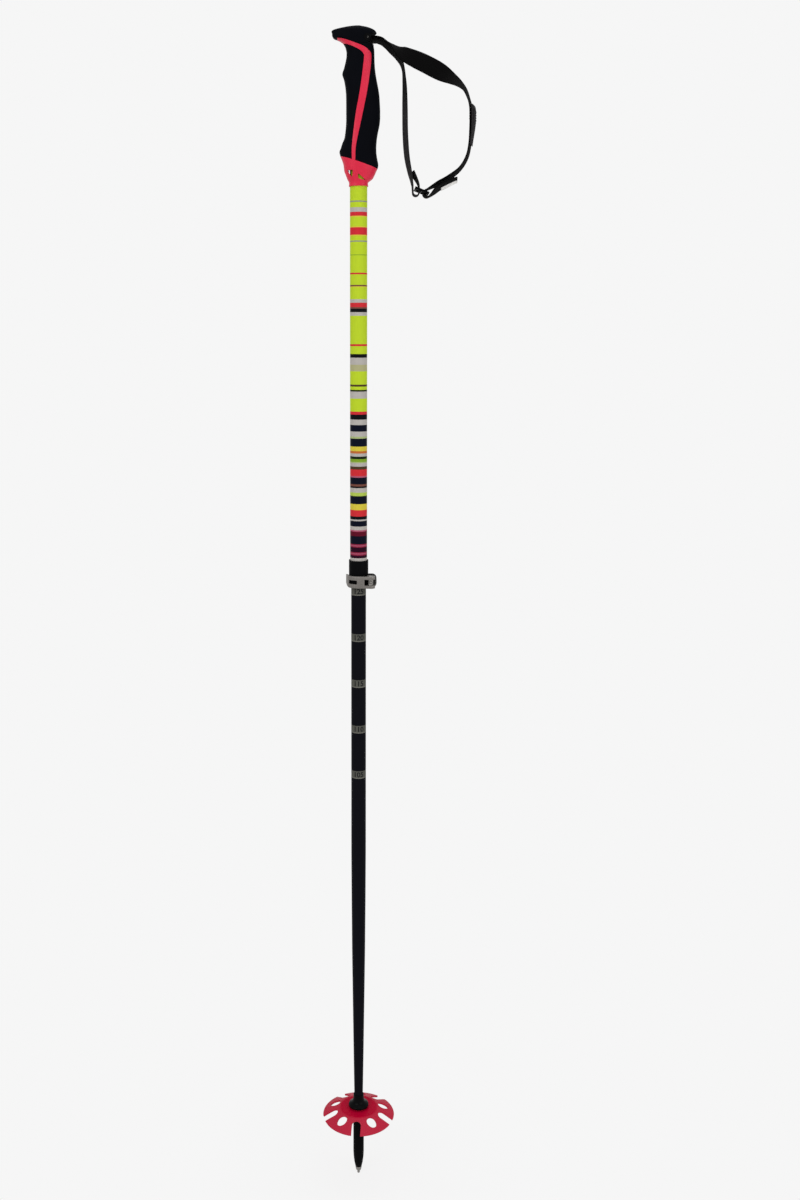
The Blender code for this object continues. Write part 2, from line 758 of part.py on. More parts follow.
def build_lower_shaft():
    """Build the tapered lower shaft and the guide bush in its top end."""
    heights = [0.0] + [point[0] for point in TAPER] + [LOWER_LENGTH]
    outer = [(shaft_radius(height), SHAFT_FOOT + height) for height in heights]
    inner = [(radius - LOWER_WALL, height) for radius, height in reversed(outer)]
    make_part("lower_shaft", *revolved(outer + inner), BLACK_TUBE)

    stem = LOWER_BORE - GAP
    profile = (
        (stem - BUSH_WALL, LOWER_TOP - BUSH_DEPTH),
        (stem, LOWER_TOP - BUSH_DEPTH),
        (stem, LOWER_TOP + GAP),
        (UPPER_BORE - GAP, LOWER_TOP + GAP),
        (UPPER_BORE - GAP, LOWER_TOP + GAP + BUSH_FLANGE),
        (stem - BUSH_WALL, LOWER_TOP + GAP + BUSH_FLANGE),
    )
    make_part("guide_bush", *revolved(profile), PALE_PLASTIC, (0.0, 0.0, LOWER_TOP))


def build_upper_shaft():
    """Build the upper shaft."""
    profile = (
        (UPPER_BORE, UPPER_FOOT),
        (UPPER_RADIUS, UPPER_FOOT),
        (UPPER_RADIUS, UPPER_TOP),
        (UPPER_BORE, UPPER_TOP),
    )
    make_part("upper_shaft", *revolved(profile), LIME_PAINT)


def ear_outline(start, end, low, high, corner):
    """Return an ear's outline of (x, z), square at its start and with two round corners at its end."""
    outline = [(start, low)]
    outline += arc((end - corner, low + corner), corner, math.radians(270.0), math.radians(360.0), 5)
    outline += arc((end - corner, high - corner), corner, 0.0, math.radians(90.0), 5)
    return outline + [(start, high)]


def build_clamp():
    """Build the clamp body, its liner, bolt, washer, saddle, barrel nut and lever."""
    lip_bore = SLEEVE_BORE - CLAMP_LIP
    profile = (
        (lip_bore, CLAMP_HEIGHT),
        (CLAMP_RADIUS, CLAMP_HEIGHT),
        (CLAMP_RADIUS, SLEEVE_TOP),
        (SLEEVE_BORE, SLEEVE_TOP),
        (SLEEVE_BORE, CLAMP_HEIGHT + CLAMP_LIP_HEIGHT),
        (lip_bore, CLAMP_HEIGHT + CLAMP_LIP_HEIGHT),
    )
    body = make_part("clamp_body", *revolved(profile), BLACK_PLASTIC)
    ear_end = CLAMP_RADIUS + EAR_REACH
    ear_start = SLEEVE_BORE + CLAMP_WALL / 4.0
    outline = ear_outline(ear_start, ear_end, CLAMP_HEIGHT, CLAMP_RING_TOP, EAR_CORNER)
    ears = make_cutter("clamp_ears", *prism(outline, -EAR_FACE, EAR_FACE, "Y"))
    root = math.sqrt(SLEEVE_BORE ** 2 - EAR_FACE ** 2)
    web_low = (root, -EAR_FACE, CLAMP_HEIGHT)
    web = make_cutter("clamp_ear_web", *box(web_low, (BOLT_BEHIND, EAR_FACE, CLAMP_RING_TOP)))
    bore_profile = (
        (0.0, CLAMP_HEIGHT - CLAMP_WALL),
        (SLEEVE_BORE, CLAMP_HEIGHT - CLAMP_WALL),
        (SLEEVE_BORE, SLEEVE_TOP + CLAMP_WALL),
        (0.0, SLEEVE_TOP + CLAMP_WALL),
    )
    bore = make_cutter("clamp_bore", *revolved(bore_profile))
    combine(ears, web, "UNION")
    combine(ears, bore, "DIFFERENCE")
    combine(body, ears, "UNION")
    half_slit = CLAMP_SLIT / 2.0
    slit_low = (LOWER_RADIUS / 2.0, -half_slit, CLAMP_HEIGHT - CLAMP_WALL)
    slit_high = (ear_end + CLAMP_WALL, half_slit, CLAMP_RING_TOP)
    slit = make_cutter("clamp_slit_cut", *box(slit_low, slit_high))
    combine(body, slit, "DIFFERENCE")
    bolt_hole_profile = (
        (0.0, -EAR_FACE - CLAMP_WALL),
        (BOLT_RADIUS + GAP, -EAR_FACE - CLAMP_WALL),
        (BOLT_RADIUS + GAP, EAR_FACE + CLAMP_WALL),
        (0.0, EAR_FACE + CLAMP_WALL),
    )
    bolt_place = (BOLT_BEHIND, 0.0, BOLT_HEIGHT)
    hole = make_cutter("bolt_hole", *revolved(bolt_hole_profile, SMALL_STEPS, bolt_place, "Y"))
    combine(body, hole, "DIFFERENCE")

    liner_foot = CLAMP_HEIGHT + CLAMP_LIP_HEIGHT + GAP
    liner_top = UPPER_FOOT - GAP
    profile = (
        (UPPER_BORE, liner_foot),
        (UPPER_RADIUS, liner_foot),
        (UPPER_RADIUS, liner_top),
        (UPPER_BORE, liner_top),
    )
    liner = make_part("clamp_liner", *revolved(profile), PALE_PLASTIC)
    liner_slit_low = (LOWER_RADIUS / 2.0, -half_slit, liner_foot - CLAMP_WALL)
    liner_slit_high = (CLAMP_RADIUS, half_slit, liner_top + CLAMP_WALL)
    combine(liner, make_cutter("liner_slit_cut", *box(liner_slit_low, liner_slit_high)), "DIFFERENCE")

    washer_foot = EAR_FACE + GAP
    washer_top = washer_foot + WASHER_THICKNESS
    profile = (
        (BOLT_RADIUS + GAP, washer_foot),
        (WASHER_RADIUS, washer_foot),
        (WASHER_RADIUS, washer_top),
        (BOLT_RADIUS + GAP, washer_top),
    )
    make_part("bolt_washer", *revolved(profile, SMALL_STEPS, bolt_place, "Y"), STEEL)

    head_foot = washer_top + GAP
    head_top = head_foot + BOLT_HEAD_HEIGHT
    bolt_end = -(BARREL_FORWARD + BARREL_RADIUS)
    profile = (
        (0.0, bolt_end),
        (BOLT_RADIUS, bolt_end),
        (BOLT_RADIUS, head_foot),
        (BOLT_HEAD_RADIUS, head_foot),
        (BOLT_HEAD_RADIUS, head_top),
        (BOLT_KEY_RADIUS, head_top),
        (BOLT_KEY_RADIUS, head_top - BOLT_KEY_DEPTH),
        (0.0, head_top - BOLT_KEY_DEPTH),
    )
    make_part("tension_bolt", *revolved(profile, SMALL_STEPS, bolt_place, "Y"), STEEL, bolt_place)

    saddle_start = EAR_ROOT + GAP
    outline = ear_outline(saddle_start, ear_end, LEVER_FOOT, LEVER_TOP, EAR_CORNER)
    saddle = make_part("cam_saddle", *prism(outline, -SADDLE_FACE, -EAR_FACE - GAP, "Y"), STEEL)
    window_low = LEVER_FOOT + SADDLE_RAIL
    window_high = LEVER_TOP - SADDLE_RAIL
    window_end = ear_end - SADDLE_RAIL
    window_corner = max(EAR_CORNER - SADDLE_RAIL, GAP)
    window_start = BOLT_BEHIND - BOLT_RADIUS - GAP
    outline = ear_outline(window_start, window_end, window_low, window_high, window_corner)
    window = make_cutter("saddle_window", *prism(outline, -SADDLE_FACE - CLAMP_WALL, -EAR_FACE + CLAMP_WALL, "Y"))
    combine(saddle, window, "DIFFERENCE")

    barrel_place = (BOLT_BEHIND, -BARREL_FORWARD, 0.0)
    profile = (
        (0.0, LEVER_FOOT),
        (BARREL_RADIUS, LEVER_FOOT),
        (BARREL_RADIUS, LEVER_TOP),
        (0.0, LEVER_TOP),
    )
    barrel = make_part("lever_barrel", *revolved(profile, SMALL_STEPS, barrel_place), STEEL)
    barrel_hole_profile = (
        (0.0, bolt_end - BARREL_RADIUS),
        (BOLT_RADIUS + GAP, bolt_end - BARREL_RADIUS),
        (BOLT_RADIUS + GAP, -SADDLE_FACE),
        (0.0, -SADDLE_FACE),
    )
    barrel_hole = make_cutter("barrel_hole", *revolved(barrel_hole_profile, SMALL_STEPS, bolt_place, "Y"))
    combine(barrel, barrel_hole, "DIFFERENCE")
    build_lever()


def build_lever():
    """Build the lever: a curved plate round the collar's front, with a forked cam end."""
    inner = CLAMP_RADIUS + GAP
    outer = inner + LEVER_SHEET
    pivot = (BOLT_BEHIND, -BARREL_FORWARD)
    tab = (-outer - 0.3 * LEVER_TAB, LEVER_TAB)
    outline = [tab]
    outline += arc((0.0, 0.0), outer, math.radians(180.0), math.radians(275.0), 12)
    outline += arc(pivot, BOSS_RADIUS, math.radians(270.0), math.radians(450.0), 12)
    outline += arc(pivot, BOSS_RADIUS, math.radians(90.0), math.radians(180.0), 4)[1:]
    outline += arc((0.0, 0.0), inner, math.radians(298.0), math.radians(180.0), 14)
    outline += [(tab[0] + 0.7 * LEVER_SHEET, LEVER_TAB)]
    place = (pivot[0], pivot[1], BOLT_HEIGHT)
    lever = make_part("clamp_lever", *prism(outline, LEVER_FOOT, LEVER_TOP, "Z"), GREY_METAL, place)
    hole_profile = (
        (0.0, LEVER_FOOT - LEVER_SHEET),
        (BARREL_RADIUS + GAP, LEVER_FOOT - LEVER_SHEET),
        (BARREL_RADIUS + GAP, LEVER_TOP + LEVER_SHEET),
        (0.0, LEVER_TOP + LEVER_SHEET),
    )
    pivot_place = (pivot[0], pivot[1], 0.0)
    combine(lever, make_cutter("lever_pivot_hole", *revolved(hole_profile, SMALL_STEPS, pivot_place)), "DIFFERENCE")
    window_radius = BOSS_RADIUS + LEVER_WINDOW_MARGIN
    window_profile = (
        (0.0, LEVER_FOOT + LEVER_CHEEK),
        (window_radius, LEVER_FOOT + LEVER_CHEEK),
        (window_radius, LEVER_TOP - LEVER_CHEEK),
        (0.0, LEVER_TOP - LEVER_CHEEK),
    )
    combine(lever, make_cutter("lever_window", *revolved(window_profile, 24, pivot_place)), "DIFFERENCE")
    left = tab[0] - LEVER_SHEET
    right = pivot[0] + BOSS_RADIUS + LEVER_SHEET
    corner_place = (tab[0] + LEVER_CORNER, LEVER_FOOT + LEVER_CORNER)
    outline = [(right, LEVER_FOOT), (right, LEVER_TOP), (left, LEVER_TOP), (left, corner_place[1])]
    outline += arc(corner_place, LEVER_CORNER, math.radians(180.0), math.radians(270.0), 6)
    face = make_cutter("lever_face", *prism(outline, -2.0 * outer, 2.0 * outer, "Y"))
    combine(lever, face, "INTERSECT")
    half_length = LEVER_SLOT_LENGTH / 2.0 - LEVER_SLOT_CORNER
    half_height = LEVER_SLOT_HEIGHT / 2.0 - LEVER_SLOT_CORNER
    outline = []
    for quarter, (along, up) in enumerate(((1.0, 1.0), (-1.0, 1.0), (-1.0, -1.0), (1.0, -1.0))):
        centre = (-LEVER_SLOT_OFFSET + along * half_length, BOLT_HEIGHT + up * half_height)
        start = math.radians(90.0 * quarter)
        outline += arc(centre, LEVER_SLOT_CORNER, start, start + math.radians(90.0), 3)
    combine(lever, make_cutter("lever_slot", *prism(outline, -2.0 * outer, -GAP, "Y")), "DIFFERENCE")


def build_grip():
    """Build the red core, the two pads and the head of the grip."""
    wide = 4.0 * UPPER_RADIUS
    stations = grip_stations()
    handle = [row for row in stations if skirt_level(wide) < row[0] < HEAD_FOOT]
    stripe_line = stripe_points()

    core = make_part("grip_core", *grip_form(PAD_THICKNESS + GAP, handle), RED_PLASTIC)
    stripe_outline = stripe_edge(stripe_line, 1, 0.0) + stripe_edge(stripe_line, -1, 0.0)[::-1]
    stripe = make_cutter("stripe_fin", *grip_form(STRIPE_SINK, stations))
    stripe_block = make_cutter("stripe_block", *prism(stripe_outline, -wide, wide, "Y"))
    combine(stripe, stripe_block, "INTERSECT")
    combine(core, stripe, "UNION")
    skirt = make_cutter("skirt_form", *grip_form(0.0, stations))
    combine(skirt, make_cutter("skirt_block", *skirt_below(0.0)), "INTERSECT")
    combine(core, skirt, "UNION")
    bore_radius = UPPER_RADIUS + GAP
    bore_profile = (
        (0.0, GRIP_FOOT - UPPER_WALL),
        (bore_radius, GRIP_FOOT - UPPER_WALL),
        (bore_radius, UPPER_TOP + GAP),
        (0.0, UPPER_TOP + GAP),
    )
    combine(core, make_cutter("grip_bore", *revolved(bore_profile)), "DIFFERENCE")
    hollow_profile = (
        (0.0, GRIP_FOOT + SKIRT_HOLLOW_FOOT),
        (bore_radius, GRIP_FOOT + SKIRT_HOLLOW_FOOT),
        (bore_radius + SKIRT_HOLLOW_SPREAD, GRIP_FOOT + SKIRT_HOLLOW_TOP),
        (0.0, GRIP_FOOT + SKIRT_HOLLOW_TOP),
    )
    combine(core, make_cutter("skirt_hollow", *revolved(hollow_profile)), "DIFFERENCE")
    windows = []
    for corners in SKIRT_WINDOWS:
        outline = [(behind * MM, GRIP_FOOT + share * SKIRT_HEIGHT) for behind, share in corners]
        windows.append(prism(outline, -wide, wide, "Y"))
    combine(core, make_cutter("skirt_windows", *merged(windows)), "DIFFERENCE")

    pocket = make_cutter("pad_pocket", *grip_form(PAD_THICKNESS, handle))
    pocket.location.z += GAP
    below = make_cutter("skirt_cut", *skirt_below(GAP))
    runout = (STRIPE_RUNOUT[0] * MM, HEAD_FOOT + STRIPE_RUNOUT[1] * MM, STRIPE_RUNOUT[2] * MM)
    spread = [runout] + stripe_line
    rear_edge = stripe_edge(spread, 1, GAP)
    front_edge = stripe_edge(spread, -1, GAP)
    corner = len(STRIPE_TOP)
    foot = GRIP_FOOT - wide

    front_outline = front_edge + [(front_edge[-1][0], foot), (-2.0 * wide, foot)]
    front_outline += [(-2.0 * wide, front_edge[0][1])]
    front = make_part("grip_front_pad", *grip_form(0.0, stations), BLACK_RUBBER)
    combine(front, make_cutter("front_block", *prism(front_outline, -wide, wide, "Y")), "INTERSECT")

    meeting = at_height(rear_edge[corner], rear_edge[corner + 1], HEAD_FOOT - GAP / 2.0)
    rear_outline = [meeting] + rear_edge[corner + 1:]
    rear_outline += [(rear_edge[-1][0], foot), (2.0 * wide, foot), (2.0 * wide, HEAD_FOOT - GAP / 2.0)]
    rear = make_part("grip_rear_pad", *grip_form(0.0, stations), BLACK_RUBBER)
    combine(rear, make_cutter("rear_block", *prism(rear_outline, -wide, wide, "Y")), "INTERSECT")

    for pad in (front, rear):
        combine(pad, below, "DIFFERENCE")
        combine(pad, pocket, "DIFFERENCE")

    meeting = at_height(rear_edge[corner], rear_edge[corner + 1], HEAD_FOOT + GAP / 2.0)
    head_outline = rear_edge[:corner + 1] + [meeting, (2.0 * wide, HEAD_FOOT + GAP / 2.0)]
    head_outline += [(2.0 * wide, HEAD_FOOT + wide), (rear_edge[0][0], HEAD_FOOT + wide)]
    head = make_part("grip_head", *grip_form(0.0, stations), BLACK_RUBBER)
    combine(head, make_cutter("head_block", *prism(head_outline, -wide, wide, "Y")), "INTERSECT")

    reach = STRAP_LOOP + STRAP_THICKNESS / 2.0 + GAP
    slot_half = STRAP_WIDTH / 2.0 + STRAP_SLOT_SIDE
    slot_front = STRAP_PIN_BEHIND - reach
    flare_start = STRAP_PIN_BEHIND + reach
    slot_outline = (
        (slot_front, HEAD_FOOT - GAP),
        (wide, HEAD_FOOT - GAP),
        (wide, STRAP_PIN_HEIGHT + reach + (wide - STRAP_PIN_BEHIND) * math.tan(STRAP_LIFT)),
        (flare_start, STRAP_PIN_HEIGHT + reach + (flare_start - STRAP_PIN_BEHIND) * math.tan(STRAP_LIFT)),
        (slot_front, STRAP_PIN_HEIGHT + reach),
    )
    combine(head, make_cutter("strap_slot", *prism(slot_outline, -slot_half, slot_half, "Y")), "DIFFERENCE")
    cheek = UPPER_RADIUS + HEAD_STATIONS[3][3] * MM
    pin_place = (STRAP_PIN_BEHIND, 0.0, STRAP_PIN_HEIGHT)
    hole_profile = (
        (0.0, -2.0 * cheek),
        (STRAP_PIN_RADIUS + GAP, -2.0 * cheek),
        (STRAP_PIN_RADIUS + GAP, 2.0 * cheek),
        (0.0, 2.0 * cheek),
    )
    combine(head, make_cutter("strap_pin_hole", *revolved(hole_profile, SMALL_STEPS, pin_place, "Y")), "DIFFERENCE")
    pin_half = cheek - STRAP_PIN_SINK
    pin_profile = (
        (0.0, -pin_half),
        (STRAP_PIN_RADIUS, -pin_half),
        (STRAP_PIN_RADIUS, pin_half),
        (0.0, pin_half),
    )
    make_part("strap_pin", *revolved(pin_profile, SMALL_STEPS, pin_place, "Y"), STEEL)


def build_strap():
    """Build the webbing with its loops and tail, the sewn doubling and the slider."""
    pin_place = (STRAP_PIN_BEHIND, 0.0, STRAP_PIN_HEIGHT)
    inner_bar = (INNER_BAR[0] * MM, INNER_BAR[1] * MM)
    middle_bar = (MIDDLE_BAR[0] * MM, MIDDLE_BAR[1] * MM)
    outer_bar = (OUTER_BAR[0] * MM, OUTER_BAR[1] * MM)
    inner = smooth_route(in_metres(INNER_ROUTE), 2)
    outer = smooth_route(in_metres(OUTER_ROUTE), 2)
    route = smooth_route(in_metres(INNER_TURN_BACK), 2)[::-1]
    route += loose_loop(INNER_LOOP, 360.0, 180.0, 8)
    route += inner[::-1]
    route += loop((0.0, 0.0), STRAP_LOOP, 270.0, 90.0, 8)
    route += outer
    route += loose_loop(OUTER_LOOP, 100.0, 290.0, 9)
    route += smooth_route(in_metres(TAIL_ROUTE), 2)
    make_part("strap_webbing", *webbing(route), BLACK_WEBBING, pin_place)
    overlap = smooth_route(in_metres(OVERLAP_ROUTE), 2)
    make_part("strap_overlap", *webbing(overlap, OVERLAP_LAYERS), BLACK_WEBBING, pin_place)

    rail_half = STRAP_WIDTH / 2.0 + STRAP_SLOT_SIDE
    rail_end = rail_half + SLIDER_RAIL
    bars = []
    for bar in (inner_bar, middle_bar, outer_bar):
        place = (STRAP_PIN_BEHIND + bar[0], 0.0, STRAP_PIN_HEIGHT + bar[1])
        profile = (
            (0.0, -rail_half - SLIDER_RAIL / 2.0),
            (SLIDER_BAR_RADIUS, -rail_half - SLIDER_RAIL / 2.0),
            (SLIDER_BAR_RADIUS, rail_half + SLIDER_RAIL / 2.0),
            (0.0, rail_half + SLIDER_RAIL / 2.0),
        )
        bars.append(revolved(profile, 12, place, "Y"))
    first = Vector(inner_bar) + Vector((STRAP_PIN_BEHIND, STRAP_PIN_HEIGHT))
    last = Vector(outer_bar) + Vector((STRAP_PIN_BEHIND, STRAP_PIN_HEIGHT))
    run = (last - first).normalized()
    side = Vector((-run.y, run.x)) * (SLIDER_BAR_RADIUS * 1.3)
    end = run * (SLIDER_BAR_RADIUS * 1.5)
    outline = [tuple(point) for point in (
        first - end - side, last + end - side, last + end + side, first - end + side)]
    near_rail = prism(outline, -rail_end, -rail_half, "Y")
    far_rail = prism(outline, rail_half, rail_end, "Y")
    slider = make_part("strap_slider", *near_rail, BLACK_PLASTIC, pin_place)
    combine(slider, make_cutter("slider_bars", *merged(bars)), "UNION")
    combine(slider, make_cutter("slider_far_rail", *far_rail), "UNION")


clear_scene()
PARTS = bpy.data.collections.new("ski_pole")
CUTTERS = bpy.data.collections.new("cutters")
bpy.context.scene.collection.children.link(PARTS)
bpy.context.scene.collection.children.link(CUTTERS)

BLACK_RUBBER = make_material("black rubber", (0.006, 0.006, 0.008), 0.0, 0.7)
BLACK_PLASTIC = make_material("black plastic", (0.008, 0.008, 0.009), 0.0, 0.45)
PALE_PLASTIC = make_material("pale plastic", (0.55, 0.55, 0.52), 0.0, 0.5)
RED_PLASTIC = make_material("red plastic", (0.60, 0.02, 0.05), 0.0, 0.4)
LIME_PAINT = make_material("lime paint", (0.47, 0.62, 0.04), 0.0, 0.35)
BLACK_TUBE = make_material("black tube", (0.007, 0.007, 0.009), 0.3, 0.35)
BLACK_WEBBING = make_material("black webbing", (0.005, 0.005, 0.005), 0.0, 0.9)
GREY_METAL = make_material("grey metal", (0.22, 0.21, 0.20), 0.8, 0.4)
STEEL = make_material("steel", (0.45, 0.45, 0.45), 1.0, 0.35)
CARBIDE = make_material("hard metal", (0.12, 0.12, 0.12), 1.0, 0.4)

build_tip()
build_basket()
build_lower_shaft()
build_upper_shaft()
build_clamp()
build_grip()
build_strap()
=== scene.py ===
"""Looks of a telescopic ski pole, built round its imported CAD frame.

Lengths are in metres, the tip stands at the origin and the shafts run along +Z. The grip's beak
points to -X, the strap leaves to +X and the clamp lever lies on the -Y side, towards the camera.
"""

from __future__ import annotations

import logging
import math
from dataclasses import dataclass
from enum import Enum

import bmesh
import bpy
import numpy as np
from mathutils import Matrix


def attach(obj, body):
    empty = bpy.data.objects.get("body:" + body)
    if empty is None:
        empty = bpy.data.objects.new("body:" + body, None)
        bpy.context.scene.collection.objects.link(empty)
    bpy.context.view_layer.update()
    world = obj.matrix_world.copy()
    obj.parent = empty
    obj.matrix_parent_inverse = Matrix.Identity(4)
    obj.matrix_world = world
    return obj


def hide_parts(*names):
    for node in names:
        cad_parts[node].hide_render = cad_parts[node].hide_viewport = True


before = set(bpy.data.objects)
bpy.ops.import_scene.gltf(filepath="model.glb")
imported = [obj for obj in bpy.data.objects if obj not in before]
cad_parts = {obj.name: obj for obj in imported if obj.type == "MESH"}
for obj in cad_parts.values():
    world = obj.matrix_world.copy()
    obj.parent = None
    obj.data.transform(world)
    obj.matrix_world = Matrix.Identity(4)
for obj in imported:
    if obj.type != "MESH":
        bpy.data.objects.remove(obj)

MM = 0.001
# Degrees: in new meshes edges over this angle stay sharp
SHARP_ANGLE = 40.0
# Degrees: in copies of CAD nodes edges over the first angle are broken and those under the second go
BROKEN_ANGLE = 32.0
FLAT_ANGLE = 0.5
# Metres: closer points are merged, in new meshes and in copies of CAD nodes
MERGE_GAP = 1e-7
CAD_MERGE_GAP = 1e-6
# Metres: shorter edges are dissolved
SHORTEST_EDGE = 1e-8
# Steps between neighbouring points of a smooth line, and over a broken edge
CURVE_STEPS = 6
EDGE_STEPS = 2
LOG = logging.getLogger("ski_pole")
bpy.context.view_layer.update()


def linear(code: str) -> tuple[float, float, float, float]:
    """Turn an sRGB hex colour into linear light.

    Formula: the transfer curve of the sRGB standard.

    Args:
        code: six hex digits after a hash sign.

    Returns:
        Red, green, blue and an alpha of one.
    """
    parts = np.array([int(code[start : start + 2], 16) for start in (1, 3, 5)]) / 255.0
    light = np.where(parts <= 0.04045, parts / 12.92, ((parts + 0.055) / 1.055) ** 2.4)
    return (float(light[0]), float(light[1]), float(light[2]), 1.0)


def add_node(
    tree: bpy.types.NodeTree, kind: str, inputs: dict | None = None, **settings: object
) -> bpy.types.Node:
    """Add a shader node with its settings, values and links.

    Args:
        tree: the node tree of a material or world.
        kind: the node's type name.
        inputs: socket name or place to a value, or to another node's output that is linked in.
        settings: the node's own options.

    Returns:
        The new node.
    """
    node = tree.nodes.new(kind)
    for name, value in settings.items():
        setattr(node, name, value)
    for key, value in (inputs or {}).items():
        if isinstance(value, bpy.types.NodeSocket):
            tree.links.new(value, node.inputs[key])
        else:
            node.inputs[key].default_value = value
    return node


def curve_through(places: np.ndarray, values: np.ndarray, wanted: np.ndarray) -> np.ndarray:
    """Follow a smooth curve through given values.

    Formula: cubic Hermite pieces between neighbouring places, with central differences as slopes.

    Args:
        places: rising places of the given values.
        values: one row of values for each place.
        wanted: places to read the curve at.

    Returns:
        One row of values for each wanted place.
    """
    slopes = np.gradient(values, places, axis=0)
    left = np.clip(np.searchsorted(places, wanted, side="right") - 1, 0, len(places) - 2)
    span = places[left + 1] - places[left]
    share = ((wanted - places[left]) / span)[:, None]
    span = span[:, None]
    square = share * share
    cube = square * share
    return (
        (2.0 * cube - 3.0 * square + 1.0) * values[left]
        + (cube - 2.0 * square + share) * span * slopes[left]
        + (3.0 * square - 2.0 * cube) * values[left + 1]
        + (cube - square) * span * slopes[left + 1]
    )


def fine_line(rows: np.ndarray) -> np.ndarray:
    """Return a smooth line through rows of values, with the same count of steps between neighbours."""
    share = np.linspace(0.0, len(rows) - 1.0, CURVE_STEPS * (len(rows) - 1) + 1)
    return curve_through(np.arange(len(rows), dtype=float), rows, share)


def circle(count: int) -> np.ndarray:
    """Return evenly spaced angles over a full circle."""
    return np.linspace(0.0, 2.0 * math.pi, count, endpoint=False)


def grid_faces(rows: int, columns: int, close_rows: bool, close_columns: bool) -> np.ndarray:
    """Return the four corners of each face of a grid of points, as whole arrays.

    Args:
        rows: count of rows.
        columns: count of points in a row.
        close_rows: whether the last row joins the first.
        close_columns: whether the last point of a row joins the first.

    Returns:
        Point numbers, one row of four for each face.
    """
    row = np.arange(rows if close_rows else rows - 1)[:, None]
    column = np.arange(columns if close_columns else columns - 1)[None, :]
    here = row * columns + column
    beside = row * columns + (column + 1) % columns
    above = ((row + 1) % rows) * columns + column
    across = ((row + 1) % rows) * columns + (column + 1) % columns
    return np.stack([here, beside, across, above], axis=-1).reshape(-1, 4)


def surface(
    name: str,
    points: np.ndarray,
    close_rows: bool = False,
    caps: bool = True,
    sharp: float = SHARP_ANGLE,
) -> bpy.types.Object:
    """Make a mesh object from a grid of points whose rows are closed loops.

    Args:
        name: the object's name.
        points: array of rows, columns and three coordinates.
        close_rows: whether the last row joins the first.
        caps: whether the first and last rows are filled.
        sharp: angle in degrees over which an edge stays sharp.

    Returns:
        The object, with faces that point outwards.
    """
    rows, columns = points.shape[:2]
    faces = grid_faces(rows, columns, close_rows, close_columns=True).tolist()
    if caps:
        faces.append(list(range(columns)))
        faces.append(list(range((rows - 1) * columns, rows * columns)))
    mesh = bpy.data.meshes.new(name)
    mesh.from_pydata(points.reshape(-1, 3).tolist(), [], faces)
    return finished(name, mesh, sharp)


def patches(name: str, points: np.ndarray, close_columns: bool) -> bpy.types.Object:
    """Make one mesh object from many grids of points.

    Args:
        name: the object's name.
        points: array of grids, rows, columns and three coordinates.
        close_columns: whether each row is a closed loop.

    Returns:
        The object, with faces that point outwards.
    """
    count, rows, columns = points.shape[:3]
    faces = grid_faces(rows, columns, close_rows=False, close_columns=close_columns)
    start = (np.arange(count) * rows * columns)[:, None, None]
    mesh = bpy.data.meshes.new(name)
    mesh.from_pydata(points.reshape(-1, 3).tolist(), [], (faces[None] + start).reshape(-1, 4).tolist())
    return finished(name, mesh)


def vertex_points(mesh: bpy.types.Mesh) -> np.ndarray:
    """Read a mesh's points.

    Args:
        mesh: the mesh.

    Returns:
        One row of three coordinates for each point.
    """
    points = np.empty(len(mesh.vertices) * 3)
    mesh.vertices.foreach_get("co", points)
    return points.reshape(-1, 3)


def finished(name: str, mesh: bpy.types.Mesh, sharp: float = SHARP_ANGLE) -> bpy.types.Object:
    """Merge a mesh's doubles, turn its faces outwards, shade it smooth and put it in the scene.

    Args:
        name: the object's name.
        mesh: the mesh to finish.
        sharp: angle in degrees over which an edge stays sharp.

    Returns:
        The new object.
    """
    form = bmesh.new()
    form.from_mesh(mesh)
    bmesh.ops.remove_doubles(form, verts=form.verts, dist=MERGE_GAP)
    bmesh.ops.dissolve_degenerate(form, edges=form.edges, dist=SHORTEST_EDGE)
    bmesh.ops.recalc_face_normals(form, faces=form.faces)
    form.to_mesh(mesh)
    form.free()
    mesh.shade_smooth()
    mesh.set_sharp_from_angle(angle=math.radians(sharp))
    item = bpy.data.objects.new(name, mesh)
    bpy.context.scene.collection.objects.link(item)
    return item


def turned(profile: np.ndarray, columns: int = 64) -> np.ndarray:
    """Turn a profile about the shaft axis.

    Formula: x = radius cos a, y = radius sin a, z = height, with a over the full circle.

    Args:
        profile: array of radius and height.
        columns: count of points round the axis.

    Returns:
        A grid of points with one row for each point of the profile.
    """
    angle = circle(columns)
    radius = profile[:, 0][:, None]
    height = np.broadcast_to(profile[:, 1][:, None], (len(profile), columns))
    return np.stack([radius * np.cos(angle), radius * np.sin(angle), height], axis=-1)


def rounded_profile(corners: list[tuple[float, float, float]], steps: int = 5) -> np.ndarray:
    """Return a profile whose corners are rounded.

    Formula: each corner becomes a quadratic curve between points at its radius along both sides.

    Args:
        corners: radius, height and corner radius of each corner, in metres, as a closed outline.
        steps: points for each rounded corner.

    Returns:
        Array of radius and height.
    """
    # A round takes just under half of each side, so that two of them never meet
    most = 0.49
    spot = np.array([corner[:2] for corner in corners])
    reach = np.array([corner[2] for corner in corners])[:, None]
    before = np.roll(spot, 1, axis=0) - spot
    after = np.roll(spot, -1, axis=0) - spot
    before_length = np.linalg.norm(before, axis=1, keepdims=True)
    after_length = np.linalg.norm(after, axis=1, keepdims=True)
    start = spot + before / before_length * np.minimum(reach, most * before_length)
    end = spot + after / after_length * np.minimum(reach, most * after_length)
    share = np.linspace(0.0, 1.0, steps)[None, :, None]
    rest = 1.0 - share
    curve = rest**2 * start[:, None] + 2.0 * share * rest * spot[:, None] + share**2 * end[:, None]
    return curve.reshape(-1, 2)


